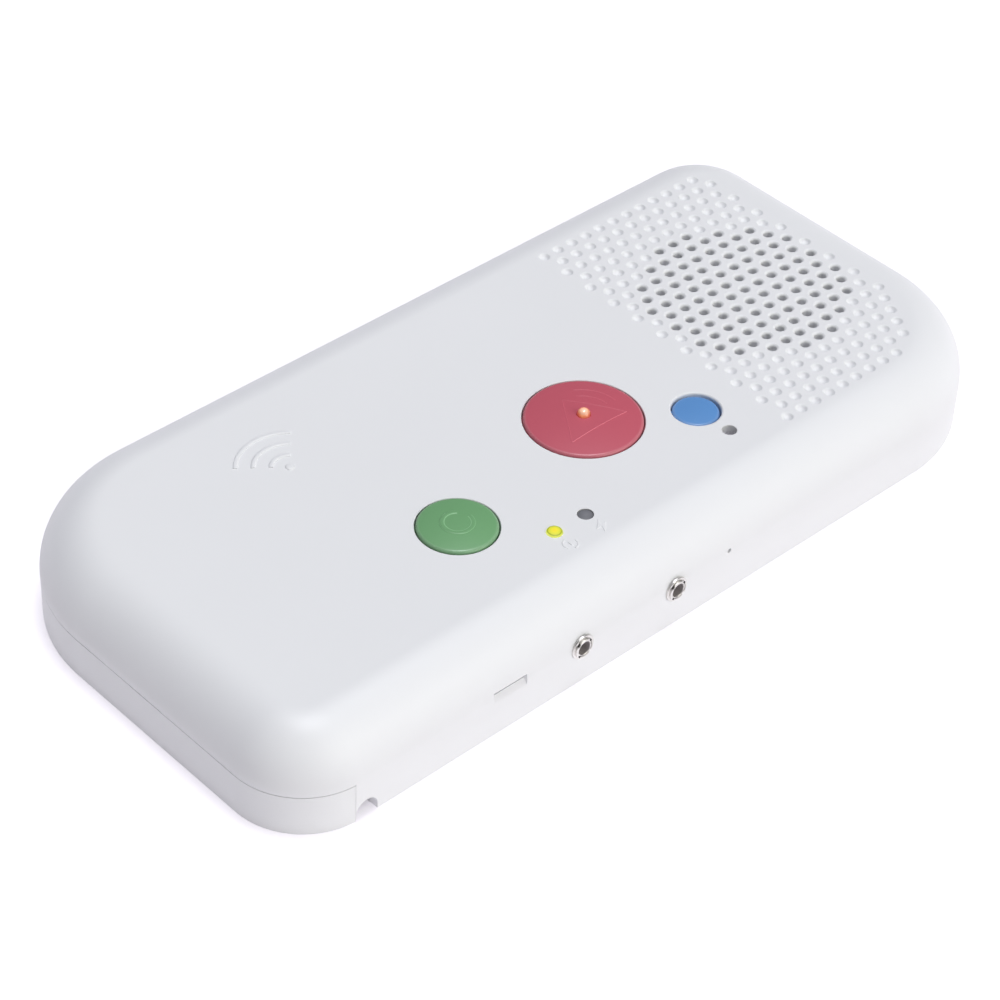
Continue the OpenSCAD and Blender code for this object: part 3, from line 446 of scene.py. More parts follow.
finishes = {
    "white_shell": moulded("white_shell", (0.845, 0.85, 0.868), 0.44, 0.010, 0.010),
    "white_base": moulded("white_base", (0.84, 0.845, 0.86), 0.5, 0.014, 0.012, 3.0),
    "red_cap": pressed_cap("red_cap", (0.57, 0.108, 0.152), help_crown),
    "green_cap": pressed_cap("green_cap", (0.175, 0.395, 0.182), cancel_crown),
    "blue_cap": pressed_cap("blue_cap", (0.115, 0.30, 0.645), service_crown),
    "amber_lens": glowing_lens("amber_lens", glow_place, LENS_R),
    "lit_lamp": lamp_glass("lit_lamp", LIT_LAMP, LAMP_R, [
        (0.0, (0.88, 0.62, 0.03)), (0.4, (0.82, 0.72, 0.04)), (0.74, (0.66, 0.68, 0.05)),
        (0.88, (0.24, 0.32, 0.02)), (0.97, (0.24, 0.32, 0.02)), (1.0, (0.78, 0.84, 0.16))], 0.75,
        (0.34, 0.34, 0.03)),
    # The dark lamp is not alight: its faint glow is painted light
    "dark_lamp": lamp_glass("dark_lamp", DARK_LAMP, LAMP_R, [
        (0.0, (0.06, 0.06, 0.065)), (0.6, (0.05, 0.05, 0.055)), (1.0, (0.03, 0.03, 0.035))], 0.2,
        (0.205, 0.208, 0.23)),
    "pale_plastic": moulded("pale_plastic", (0.78, 0.75, 0.66), 0.5, 0.01, 0.03),
    "dark_plastic": moulded("dark_plastic", (0.022, 0.022, 0.024), 0.5, 0.014, 0.2),
    "switch_plastic": moulded("switch_plastic", (0.06, 0.06, 0.065), 0.5, 0.012, 0.1),
    "spring_steel": metal("spring_steel", (0.72, 0.71, 0.69), 0.22),
    "plated_steel": metal("plated_steel", (0.66, 0.66, 0.67), 0.3),
    "nickel": jack_metal("nickel", (0.78, 0.76, 0.73), (0.42, 0.39, 0.39)),
    "capsule_metal": metal("capsule_metal", (0.62, 0.62, 0.64), 0.35),
    "soft_rubber": rubbery("soft_rubber", (0.02, 0.02, 0.021)),
    "ferrite": rubbery("ferrite", (0.035, 0.034, 0.035), 0.6, 3.5),
    "cone_paper": pulp("cone_paper", (0.035, 0.035, 0.038)),
    "cloth": woven("cloth", (0.48, 0.48, 0.53)),
    "copper_wire": wound("copper_wire", (0.72, 0.28, 0.10)),
    "red_wire": moulded("red_wire", (0.42, 0.02, 0.02), 0.4, 0.01, 0.06),
    "board": circuit_board("board"),
    "terminal_plastic": moulded("terminal_plastic", (0.03, 0.26, 0.10), 0.45, 0.012, 0.06),
}
for node in nodes.values():
    for holder in node.material_slots:
        holder.material = finishes[holder.material.name.split(".")[0]]
for holder in nodes["microphone_boot"].material_slots:
    holder.material = rubbery("grey_silicone", (0.43, 0.42, 0.455))


# Modelling, in millimetres until a value reaches an operator

def metres(point):
    return [value * MM for value in point]


def fresh(add, name, **size):
    """A new primitive under its own name, selected alone."""
    bpy.ops.object.select_all(action="DESELECT")
    add(**size)
    piece = bpy.context.object
    piece.name = name
    return piece


def edit(piece):
    bpy.ops.object.select_all(action="DESELECT")
    bpy.context.view_layer.objects.active = piece
    piece.select_set(True)
    bpy.ops.object.mode_set(mode="EDIT")
    bpy.ops.mesh.select_all(action="SELECT")


def done():
    bpy.ops.object.mode_set(mode="OBJECT")


def middle(part):
    """The centre of a vertex, an edge or a face, in millimetres."""
    corners = part.verts if hasattr(part, "verts") else [part]
    return sum((v.co for v in corners), Vector()) / len(corners) / MM


def pick(piece, kind, test):
    """Select only the vertices, edges or faces that pass a test."""
    bpy.ops.mesh.select_mode(type=kind)
    bpy.ops.mesh.select_all(action="DESELECT")
    shape = bmesh.from_edit_mesh(piece.data)
    group = {"VERT": shape.verts, "EDGE": shape.edges, "FACE": shape.faces}[kind]
    for part in group:
        part.select_set(test(part))
    shape.select_flush_mode()
    bmesh.update_edit_mesh(piece.data)


def close():
    """Merge what touches and turn all faces outwards."""
    bpy.ops.mesh.select_all(action="SELECT")
    bpy.ops.mesh.remove_doubles(threshold=MERGE)
    bpy.ops.mesh.normals_make_consistent(inside=False)


def drawn(name, points):
    """A line drawn from point to point; the piece stays in edit mode."""
    piece = fresh(bpy.ops.mesh.primitive_plane_add, name, size=MM)
    edit(piece)
    bpy.ops.mesh.select_mode(type="VERT")
    bpy.ops.mesh.merge(type="CENTER")
    bpy.ops.transform.translate(value=metres(points[0]))
    for here, there in zip(points, points[1:]):
        bpy.ops.mesh.extrude_vertices_move(
            TRANSFORM_OT_translate={"value": metres(Vector(there) - Vector(here))})
    return piece


def turned(name, profile, place=(0, 0), steps=72, axis="Z"):
    """A profile of radius and height, turned about an upright axis or one along Y."""
    if axis == "Z":
        piece = drawn(name, [(place[0] + r, place[1], h) for r, h in profile])
        centre, about = (*place, 0), (0, 0, 1)
    else:
        piece = drawn(name, [(place[0] + r, h, place[1]) for r, h in profile])
        centre, about = (place[0], 0, place[1]), (0, 1, 0)
    bpy.ops.mesh.select_all(action="SELECT")
    bpy.ops.mesh.spin(steps=steps, angle=2 * pi, center=metres(centre), axis=about)
    close()
    done()
    return piece


def swept(name, origin, across, up, section, centre, about, angle, steps):
    """A closed section that is swept round an axis by less than a turn and closed at its ends."""
    start, across, up = Vector(origin), Vector(across), Vector(up)
    ring = [start + across * a + up * h for a, h in section]
    piece = drawn(name, [*ring, ring[0]])
    bpy.ops.mesh.select_all(action="SELECT")
    bpy.ops.mesh.remove_doubles(threshold=MERGE)
    bpy.ops.mesh.spin(steps=steps, angle=-angle, center=metres(centre), axis=about)
    bpy.ops.mesh.select_all(action="SELECT")
    bpy.ops.mesh.fill_holes(sides=0)
    close()
    done()
    return piece


def pushed(name, outline, push):
    """A flat outline that is pushed into a block."""
    piece = drawn(name, outline)
    bpy.ops.mesh.select_all(action="SELECT")
    bpy.ops.mesh.edge_face_add()
    bpy.ops.mesh.extrude_region_move(TRANSFORM_OT_translate={"value": metres(push)})
    close()
    done()
    return piece


def apply(piece, kind, **settings):
    bpy.ops.object.select_all(action="DESELECT")
    bpy.context.view_layer.objects.active = piece
    piece.select_set(True)
    added = piece.modifiers.new(kind.lower(), kind)
    for key, setting in settings.items():
        setattr(added, key, setting)
    bpy.ops.object.modifier_apply(modifier=added.name)


def soften(piece, width, segments=2, angle=40):
    apply(piece, "BEVEL", width=width * MM, segments=segments, limit_method="ANGLE",
          angle_limit=radians(angle), use_clamp_overlap=True)


def cut(piece, cutter):
    apply(piece, "BOOLEAN", operation="DIFFERENCE", solver="EXACT", object=cutter)
    bpy.data.objects.remove(cutter)


def smooth(piece, angle=40, weighted=True):
    bpy.ops.object.select_all(action="DESELECT")
    bpy.context.view_layer.objects.active = piece
    piece.select_set(True)
    bpy.ops.object.shade_smooth_by_angle(angle=radians(angle))
    if weighted:
        apply(piece, "WEIGHTED_NORMAL", mode="FACE_AREA", weight=50, keep_sharp=True)


def join(first, others):
    bpy.ops.object.select_all(action="DESELECT")
    for piece in others:
        piece.select_set(True)
    first.select_set(True)
    bpy.context.view_layer.objects.active = first
    bpy.ops.object.join()
    return first


def copies(piece, places):
    """The piece itself is used up: one copy, with its own mesh, stands at each place."""
    made = []
    for place in places:
        one = piece.copy()
        one.data = piece.data.copy()
        one.data.transform(Matrix.Translation(metres(place)))
        bpy.context.collection.objects.link(one)
        made.append(one)
    bpy.data.objects.remove(piece)
    return made


def dress(piece, slot, body, *stands_for):
    """Give a finished piece its finish, its body and the solids that it stands for."""
    piece.data.materials.clear()
    piece.data.materials.append(finishes[slot])
    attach(piece, body)
    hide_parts(*stands_for)
    return piece


# Front cover

LENGTH = 245.5
WIDTH = 119.0
HALF_W = WIDTH / 2
SEAM = 11.4
WALL = 2.5
CEILING = FACE - WALL
EDGE_R = 14.0
TIGHT_R = 19.5
WIDE_R = 41.8
SKIRT_X = -104.56
SKIRT_Y = WIDE_R - HALF_W
SKIRT_LOW = 0.2
SOFT_EDGE = 0.12
GRILLE = (78.0, 0.0)
PITCH = 5.0
COLUMN_STEP = PITCH * sqrt(3) / 2
PIERCED = 5.4
HOLE_R = 1.15
HOLE_LIP = 0.8
DIMPLE_R = 1.75
DIMPLE_DEPTH = 0.8
DIMPLE_LIP = 0.5
NEARLY_FLAT = radians(78)
LIP_RUN = 1.0
DIMPLE_RUN = 0.8
FLARE_STEPS = 4
BOWL_STEPS = 5
DIMPLE_LIP_STEPS = 3
PAST = 2.0
CORNER_STEPS = 32
EDGE_STEPS = 20
AT_CORNER = 0.499
NEAR_FACE = 0.1
DOWNWARDS = -0.9


def cover_shell():
    """The cover's outside, from a rounded plan to a shell with a skirt along the jack side."""
    shell = fresh(bpy.ops.mesh.primitive_plane_add, "front_cover_shell", size=1)
    edit(shell)
    bpy.ops.transform.resize(value=(LENGTH * MM, WIDTH * MM, 1))
    bpy.ops.transform.translate(value=(0, 0, SEAM * MM))
    for side_x, side_y in ((1, 1), (-1, 1), (-1, -1), (1, -1)):
        pick(shell, "VERT", lambda v: v.co.x * side_x > AT_CORNER * LENGTH * MM
             and v.co.y * side_y > AT_CORNER * WIDTH * MM)
        radius = TIGHT_R if side_x == side_y else WIDE_R
        bpy.ops.mesh.bevel(offset_type="OFFSET", offset=radius * MM, segments=CORNER_STEPS, profile=0.5,
                           affect="VERTICES", clamp_overlap=False)
    bpy.ops.mesh.select_mode(type="FACE")
    bpy.ops.mesh.select_all(action="SELECT")
    bpy.ops.mesh.extrude_region_move(TRANSFORM_OT_translate={"value": (0, 0, (FACE - SEAM) * MM)})
    close()
    pick(shell, "EDGE", lambda e: all(v.co.z > (FACE - NEAR_FACE) * MM for v in e.verts))
    bpy.ops.mesh.bevel(offset_type="OFFSET", offset=EDGE_R * MM, segments=EDGE_STEPS, profile=0.5,
                       affect="EDGES", clamp_overlap=False)
    pick(shell, "FACE", lambda face: face.normal.z < DOWNWARDS)
    bpy.ops.mesh.delete(type="ONLY_FACE")
    bpy.ops.mesh.select_all(action="SELECT")
    bpy.ops.mesh.bisect(plane_co=(SKIRT_X * MM, 0, 0), plane_no=(1, 0, 0))
    pick(shell, "EDGE", lambda e: e.is_boundary and middle(e).x > SKIRT_X and middle(e).y < SKIRT_Y)
    bpy.ops.mesh.extrude_edges_move(TRANSFORM_OT_translate={"value": (0, 0, (SKIRT_LOW - SEAM) * MM)})
    close()
    done()
    apply(shell, "SOLIDIFY", thickness=WALL * MM, offset=-1, use_even_offset=True, use_quality_normals=True)
    soften(shell, SOFT_EDGE, 3, 60)
    return shell


def lipped(r, lip, low, face):
    """Profile of a hole whose edge at the face is rounded."""
    high = face - lip * sin(NEARLY_FLAT)
    bend = [NEARLY_FLAT * step / FLARE_STEPS for step in range(FLARE_STEPS + 1)]
    flare = [(r + lip - lip * cos(t), high + lip * sin(t)) for t in bend]
    past = (flare[-1][0] + LIP_RUN * sin(NEARLY_FLAT), face + LIP_RUN * cos(NEARLY_FLAT))
    return [(0, low), (r, low), *flare, past, (past[0], face + PAST), (0, face + PAST)]


def dimpled(r, depth, lip, face):
    """Profile of a shallow bowl that runs into the face through a rounded lip."""
    bowl_r = (r * r + (lip - depth) ** 2 - lip * lip) / (2 * depth)
    meet = atan2(r, bowl_r - depth + lip)
    bowl = [meet * step / BOWL_STEPS for step in range(BOWL_STEPS + 1)]
    bottom = [(bowl_r * sin(t), face - depth + bowl_r * (1 - cos(t))) for t in bowl]
    turn = (NEARLY_FLAT - pi / 2 + meet) / DIMPLE_LIP_STEPS
    bend = [pi / 2 - meet + turn * step for step in range(1, DIMPLE_LIP_STEPS + 1)]
    flare = [(r - lip * cos(t), face - lip + lip * sin(t)) for t in bend]
    past = (flare[-1][0] + DIMPLE_RUN * sin(NEARLY_FLAT), flare[-1][1] + DIMPLE_RUN * cos(NEARLY_FLAT))
    return [*bottom, *flare, past, (past[0], face + PAST), (0, face + PAST)]


# The lattice, in pitches: its outer column, where columns start and end, and where they begin to shorten
OUTER_COLUMN = 10
COLUMN_START = -6
COLUMN_END = 5.5
OUTER_COLUMN_END = 2
SHORTER_PAST = 5


def grille_points():
    """The lattice in pitches: columns towards the wide corner grow shorter."""
    points = []
    for column in range(-OUTER_COLUMN, OUTER_COLUMN + 1):
        last = COLUMN_END - max(0, column - SHORTER_PAST) / 2
        if column == OUTER_COLUMN:
            last = OUTER_COLUMN_END
        along = COLUMN_START + (column % 2) / 2
        while along <= last:
            points.append((along, column))
            along += 1
    return points


def place_of(point):
    along, column = point
    return GRILLE[0] + along * PITCH, GRILLE[1] - column * COLUMN_STEP, 0


def is_pierced(point):
    along, column = point
    return hypot(along, column * sqrt(3) / 2) < PIERCED


BUTTON_GAP = 0.35
LAMP_HOLE_R = 2.0
MIC = (33.4, -37.7)
MIC_HOLE_R = 1.85
PIN = (12.5, 12.9)
PIN_R = 0.6
POCKET = (-63.7, -53.5)
POCKET_DEPTH = 1.6
POCKET_TOP = 13.3
POCKET_LOW = 10.0
POCKET_LIP = 0.93
POCKET_GAP = 1.8
POCKET_GAP_LOW = 11.3
NOTCH_X = -101.4
NOTCH_R = 3.12
NOTCH_H = 5.0
NOTCH_DEPTH = 8.0
NOTCH_STEPS = 24
REACH = 1.0
POCKET_SOFT = 0.15
SIDE_LIP = 0.15
PIN_INSET = 0.06
GRILLE_STEPS = 24
SMALL_HOLE_STEPS = 48
# Crown, lip and steps of each button's hole
BUTTON_HOLES = ((help_crown, 0.3, 128), (cancel_crown, 0.3, 96), (service_crown, 0.6, 72))
# Place, radius and lip of each small hole in the face
FACE_HOLES = ((LIT_LAMP[:2], LAMP_HOLE_R, 0.15), (DARK_LAMP[:2], LAMP_HOLE_R, 0.15),
              (MIC, MIC_HOLE_R, 0.25))


def pocket_cutter(outer):
    """The pry pocket: a ramp that runs up and in to a lip, and a gap behind that lip."""
    slope = (POCKET_TOP - POCKET_LOW) / POCKET_DEPTH
    gap, ramp_end = POCKET_GAP - HALF_W, POCKET_LIP - HALF_W
    section = ((outer, POCKET_TOP), (gap, POCKET_TOP), (gap, POCKET_GAP_LOW), (ramp_end, POCKET_GAP_LOW),
               (ramp_end, POCKET_LOW + slope * POCKET_LIP), (outer, POCKET_LOW - slope * REACH))
    pocket = pushed("pocket_cut", [(POCKET[0], y, z) for y, z in section], (POCKET[1] - POCKET[0], 0, 0))
    soften(pocket, POCKET_SOFT, 3)
    return pocket


def notch_cutter(outer):
    """The arched cable notch in the skirt."""
    top = NOTCH_H - NOTCH_R
    arch = [pi - pi * step / NOTCH_STEPS for step in range(NOTCH_STEPS + 1)]
    outline = [(NOTCH_X - NOTCH_R, outer, -REACH)]
    outline += [(NOTCH_X + NOTCH_R * cos(t), outer, top + NOTCH_R * sin(t)) for t in arch]
    outline.append((NOTCH_X + NOTCH_R, outer, -REACH))
    return pushed("notch_cut", outline, (0, NOTCH_DEPTH + REACH, 0))


def cover_cutters():
    low = CEILING - REACH
    grille_hole = turned("grille_hole", lipped(HOLE_R, HOLE_LIP, low, FACE), steps=GRILLE_STEPS)
    dimple = turned("dimple", dimpled(DIMPLE_R, DIMPLE_DEPTH, DIMPLE_LIP, FACE), steps=GRILLE_STEPS)
    points = grille_points()
    cutters = copies(grille_hole, [place_of(p) for p in points if is_pierced(p)])
    cutters += copies(dimple, [place_of(p) for p in points if not is_pierced(p)])
    for crown, lip, steps in BUTTON_HOLES:
        hole = lipped(crown.r + BUTTON_GAP, lip, low, FACE)
        cutters.append(turned("button_hole", hole, crown.place, steps))
    for place, r, lip in FACE_HOLES:
        cutters.append(turned("face_hole", lipped(r, lip, low, FACE), place, SMALL_HOLE_STEPS))
    inner, outer = WALL - HALF_W + REACH, -HALF_W - REACH
    jack_r = SLEEVE_R + SLIP
    for x in JACKS:
        cutters.append(turned("jack_hole", [(0, inner), (jack_r, inner), (jack_r, outer), (0, outer)],
                              (x, JACK_Z), SMALL_HOLE_STEPS, "Y"))
    side_hole = lipped(PIN_R, SIDE_LIP, HALF_W - WALL - REACH, HALF_W - PIN_INSET)
    cutters.append(turned("pin_hole_cut", [(r, -h) for r, h in side_hole], PIN, ROUND_STEPS, "Y"))
    return join(pocket_cutter(outer), [notch_cutter(outer), *cutters])


RELIEF = 0.25
RELIEF_ROOT = 0.3
WAVE = (-56.9, 20.1)
WAVE_TURN = 50
WAVE_SWEEP = 93
WAVE_RADII = (4.5, 8.8, 13.0)
WAVE_LINE = 1.2
SIGN_Y = -43.1
SIGN_R = 1.8
SIGN_LINE = 0.5
SIGN_STROKE = 1.6
SIGN_RISE = 0.14
# Where each arc of the ring starts and how far it is swept, in degrees
RING_ARCS = ((95, 117), (265, 105))
CREST = 0.55
SIGN_CREST = 0.15
ARC_STEPS = 8
ARC_RUN = 40
SHOULDER = 0.55
SHOULDER_RISE = 0.75
BOLT = ((1, 2.3), (-1.8, -0.3), (-0.2, -0.3), (-1, -2.3), (1.8, 0.4), (0.2, 0.4))


def ridge_section(line, rise, root, crest=CREST):
    """A low ridge with sloped, rounded shoulders and a flat crest, given as a share of its width."""
    half, flat = line / 2, crest * line / 2
    bend = flat + SHOULDER * (half - flat)
    side = SHOULDER_RISE * rise
    return [(-half, -root), (-half, 0), (-bend, side), (-flat, rise),
            (flat, rise), (bend, side), (half, 0), (half, -root)]


def face_arc(name, place, r, line, turn, sweep, base, rise, crest=CREST):
    """An arc that stands on a face: it starts at an angle and is swept by another, in degrees."""
    way = Vector((cos(radians(turn)), sin(radians(turn)), 0))
    centre = Vector((*place, base))
    section = ridge_section(line, rise, RELIEF_ROOT, crest)
    return swept(name, centre + way * r, way, (0, 0, 1), section, centre, (0, 0, 1), radians(sweep),
                 ARC_STEPS + int(sweep * r / ARC_RUN))


def cover_signs():
    dot = [(0, FACE - RELIEF_ROOT), (WAVE_LINE, FACE - RELIEF_ROOT), (WAVE_LINE, FACE),
           (0.9 * WAVE_LINE, FACE + 0.7 * RELIEF), (0.7 * WAVE_LINE, FACE + RELIEF), (0, FACE + RELIEF)]
    signs = [turned("wave_dot", dot, WAVE, ROUND_STEPS)]
    for r in WAVE_RADII:
        signs.append(face_arc("wave_arc", WAVE, r, WAVE_LINE, WAVE_TURN, WAVE_SWEEP, FACE, RELIEF))
    ring = (LIT_LAMP[0], SIGN_Y)
    for turn, sweep in RING_ARCS:
        signs.append(face_arc("ring_arc", ring, SIGN_R, SIGN_LINE, turn, sweep, FACE, SIGN_RISE,
                              SIGN_CREST))
    half, reach = SIGN_LINE / 2, SIGN_STROKE / 2
    low = FACE - RELIEF_ROOT
    stroke = pushed("ring_stroke", [(ring[0] + x, ring[1] + y, low) for x, y in (
        (-half, -reach), (half, -reach), (half, reach), (-half, reach))], (0, 0, RELIEF_ROOT + SIGN_RISE))
    bolt = pushed("bolt_sign", [(DARK_LAMP[0] + x, SIGN_Y + y, low) for x, y in BOLT],
                  (0, 0, RELIEF_ROOT + SIGN_RISE))
    for sign in (stroke, bolt):
        soften(sign, SIGN_RISE, 3)
    return [*signs, stroke, bolt]


BOSS_R = 3.0
BOSS_EDGE = 0.2
BOSS_ROOT = 0.5
PILOT_R = 1.15
PILOT_DEPTH = 5.0
PILOT_CHAMFER = 0.3
BOARD_BOSSES = ((-65, -47), (40, -47), (-65, -8), (40, 34), (-20, 34))
READER_BOSSES = ((-74, 36), (-40, 36))
BOARD_TOP = 16.0
READER_TOP = 20.5
FLANGE_UNDER = 20.6
CLAMP_RING_R = 31.8
CLAMP_TURNS = (0, 120, 240)
LEDGE_LOW = SEAM + 0.3
LEDGE_H = 1.5
LEDGE_REACH = 1.9
LEDGE_ROOT = WALL / 2
LEDGE_HALF = 4
LEDGE_SOFT = 0.15
# Where each ledge stands on the inner wall, and which way it faces, in degrees
LEDGES = ((-35, HALF_W - WALL, 90), (55, HALF_W - WALL, 90), (LENGTH / 2 - WALL, 10, 0),
          (WALL - LENGTH / 2, -10, 180))


def boss(place, bottom):
    """A screw boss with a pilot hole, down from the ceiling."""
    pilot_top = bottom + min(PILOT_DEPTH, CEILING - bottom)
    root = CEILING + BOSS_ROOT
    return turned("boss", [(0, pilot_top), (PILOT_R, pilot_top), (PILOT_R, bottom + PILOT_CHAMFER),
                           (PILOT_R + PILOT_CHAMFER, bottom), (BOSS_R - BOSS_EDGE, bottom),
                           (BOSS_R, bottom + BOSS_EDGE), (BOSS_R, CEILING), (BOSS_R, root), (0, root)],
                  place, ROUND_STEPS)


def ledge(x, y, turn):
    """A ledge on the inner wall that a latch of the rear cover hooks over."""
    way = Matrix.Rotation(radians(turn), 3, "Z")
    plan = ((-LEDGE_REACH, -LEDGE_HALF, 0), (LEDGE_ROOT, -LEDGE_HALF, 0),
            (LEDGE_ROOT, LEDGE_HALF, 0), (-LEDGE_REACH, LEDGE_HALF, 0))
    piece = pushed("ledge", [way @ Vector(c) + Vector((x, y, LEDGE_LOW)) for c in plan], (0, 0, LEDGE_H))
    soften(piece, LEDGE_SOFT)
    return piece


def cover_fittings():
    clamps = [(GRILLE[0] + CLAMP_RING_R * cos(radians(t)), CLAMP_RING_R * sin(radians(t)))
              for t in CLAMP_TURNS]
    fittings = [boss(p, BOARD_TOP) for p in BOARD_BOSSES]
    fittings += [boss(p, READER_TOP) for p in READER_BOSSES]
    fittings += [boss(p, FLANGE_UNDER) for p in clamps]
    return fittings + [ledge(*place) for place in LEDGES]


cover = cover_shell()
cut(cover, cover_cutters())
join(cover, cover_signs() + cover_fittings())
smooth(cover, 42)
dress(cover, "white_shell", "case", "front_cover")


# Buttons

PLUNGER_TOP = 20.5
STEM_R = 1.6
STEM_EDGE = 0.2
STEM_STEPS = 24


def cap(name, crown, stems, steps, bore=0.0):
    """A button's cap with its stems, which stand at shifts along the length from its middle."""
    piece = turned(name, crown.profile(bore), crown.place, steps)
    top = crown.edge - CAP_WALL / 2
    stem = [(0, PLUNGER_TOP), (STEM_R - STEM_EDGE, PLUNGER_TOP), (STEM_R, PLUNGER_TOP + STEM_EDGE),
            (STEM_R, top), (0, top)]
    x, y = crown.place
    return join(piece, [turned("stem", stem, (x + shift, y), STEM_STEPS) for shift in stems])


def crown_arc(crown, r, line, turn, sweep, rise):
    return face_arc("mark_arc", crown.place, r, line, turn, sweep, crown.height(r), rise)


def crown_line(crown, start, end, line, rise):
    """A straight ridge across the dome, swept round the circle in which its plane cuts the ball."""
    start, end = Vector(start), Vector(end)
    along = (end - start).normalized()
    across = Vector((-along.y, along.x, 0))
    foot = start - along * start.dot(along)
    centre = Vector((crown.place[0] + foot.x, crown.place[1] + foot.y, crown.low))
    ring = sqrt(crown.ball ** 2 - foot.length_squared)
    ends = [atan2(p.dot(along), sqrt(ring * ring - p.dot(along) ** 2)) for p in (start, end)]
    up = Vector((along.x * sin(ends[0]), along.y * sin(ends[0]), cos(ends[0])))
    about = up.cross(Vector((*along, 0)))
    section = ridge_section(line, rise, MARK_ROOT)
    return swept("mark_line", centre + up * ring, across, up, section, centre, about, ends[1] - ends[0],
                 MARK_STEPS)


MARK_LINE = 0.3
MARK_ROOT = 0.2
MARK_STEPS = 16
TRIANGLE = ((-9.2, -5.6), (9.2, -5.6), (0.0, 7.6))
TRIANGLE_RISES = (0.085, 0.035, 0.035)
CALL_RISE = 0.04
CANCEL_RISE = 0.12
CALL_RADII = (7.4, 10.2)
CALL_TURN = -4
CALL_SWEEP = 64
CANCEL_RING_R = 3.6
CANCEL_RING_LINE = 1.3
CANCEL_RING_TURN = 50
CANCEL_RING_SWEEP = 310
HELP_STEMS = (-8.88, 8.88)
MIDDLE_STEM = (0,)

help_cap = cap("help_cap", help_crown, HELP_STEMS, steps=144, bore=LENS_R + SLIP)
marks = [crown_line(help_crown, TRIANGLE[i], TRIANGLE[(i + 1) % 3], MARK_LINE, rise)
         for i, rise in enumerate(TRIANGLE_RISES)]
marks += [crown_arc(help_crown, r, MARK_LINE, CALL_TURN, CALL_SWEEP, CALL_RISE) for r in CALL_RADII]
join(help_cap, marks)
smooth(help_cap)
dress(help_cap, "red_cap", "help", "help_button")

cancel_cap = cap("cancel_cap", cancel_crown, MIDDLE_STEM, steps=112)
join(cancel_cap, [crown_arc(cancel_crown, CANCEL_RING_R, CANCEL_RING_LINE, CANCEL_RING_TURN,
                            CANCEL_RING_SWEEP, CANCEL_RISE)])
smooth(cancel_cap)
dress(cancel_cap, "green_cap", "cancel", "cancel_button")

service_cap = cap("service_cap", service_crown, MIDDLE_STEM, steps=80)
smooth(service_cap)
dress(service_cap, "blue_cap", "service", "service_button")


# Snap domes

DOME_R = 1.95
DOME_LOW = 17.0
DOME_TOP = 18.39
DOME_T = 0.2
DOME_STEPS = 10


def snap_dome(place):
    """A thin steel snap dome under its plunger."""
    bend = [pi / 2 * step / DOME_STEPS for step in range(DOME_STEPS + 1)]
    rise = DOME_TOP - DOME_LOW - DOME_T
    outside = [(DOME_R * sin(t), DOME_LOW + DOME_T + rise * cos(t)) for t in bend]
    inside = [((DOME_R - DOME_T) * sin(t), DOME_LOW + rise * cos(t)) for t in reversed(bend)]
    return turned("snap_dome", [*outside, (DOME_R, DOME_LOW), *inside], place, ROUND_STEPS)


for body, crown, shifts, node in (("help", help_crown, HELP_STEMS, "help_domes"),
                                  ("cancel", cancel_crown, MIDDLE_STEM, "cancel_dome"),
                                  ("service", service_crown, MIDDLE_STEM, "service_dome")):
    domes = [snap_dome((crown.place[0] + shift, crown.place[1])) for shift in shifts]
    piece = join(domes[0], domes[1:]) if len(domes) > 1 else domes[0]
    piece.name = body + "_snap_dome"
    smooth(piece)
    dress(piece, "spring_steel", "case", node)
    metres((*crown.place, DOME_LOW))
    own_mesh(piece)


# Call jacks

COLLAR_R = 2.65
NUT_T = 1.0
NUT_FLANGE_T = 0.5
NUT_SLOT_DEPTH = 0.45
NUT_EDGE = 0.1
# The rounded corner of the nut's flange, inwards and back from its sharp corner
NUT_ROUND = ((0, 0.12), (0.05, 0.03), (0.15, 0))
NUT_STEPS = 64
SLEEVE_OUT = 0.9
SLEEVE_IN = -56.5
MOUTH_FLARE = 0.12
MOUTH_DEPTH = 0.15


def slotted(piece, x):
    """Cut the two crossed slots for a spanner into the front of a ring."""
    front, side = -HALF_W - NUT_T, NUT_SLOT / 2
    start = Vector((x, front - REACH, JACK_Z))
    for turn in (45, 135):
        way = Vector((cos(radians(turn)), 0, sin(radians(turn))))
        wide = Vector((-way.z, 0, way.x))
        cut(piece, pushed("nut_slot", [start + way * a * (NUT_R + REACH) + wide * b * side for a, b in (
            (-1, -1), (1, -1), (1, 1), (-1, 1))], (0, REACH + NUT_SLOT_DEPTH, 0)))
    return piece


def jack_nut(x):
    seat, bore = -HALF_W, SLEEVE_R + SLIP
    flange, front = seat - NUT_FLANGE_T, seat - NUT_T
    return slotted(turned("ring_nut", [
        (bore, seat), (NUT_R, seat), *[(NUT_R - inward, flange + back) for inward, back in NUT_ROUND],
        (COLLAR_R, flange), (COLLAR_R, front + NUT_EDGE), (COLLAR_R - NUT_EDGE, front), (bore, front),
        (bore, seat)], (x, JACK_Z), NUT_STEPS, "Y"), x)


def jack_sleeve(x):
    mouth = -HALF_W - SLEEVE_OUT
    return turned("jack_sleeve", [
        (BORE_R, SLEEVE_IN), (SLEEVE_R, SLEEVE_IN), (SLEEVE_R, mouth + NUT_EDGE),
        (SLEEVE_R - NUT_EDGE, mouth), (BORE_R + MOUTH_FLARE, mouth), (BORE_R, mouth + MOUTH_DEPTH),
        (BORE_R, SLEEVE_IN)],
        (x, JACK_Z), NUT_STEPS, "Y")


for number, x in enumerate(JACKS, 1):
    nut, sleeve = jack_nut(x), jack_sleeve(x)
    nut.name, sleeve.name = "jack_%d_ring_nut" % number, "jack_%d_bore_sleeve" % number
    for piece in (nut, sleeve):
        smooth(piece, 35)
    dress(nut, "nickel", "case", "jack_%d_nut" % number)
    dress(sleeve, "nickel", "case", "jack_%d_sleeve" % number)


# Grille cloth

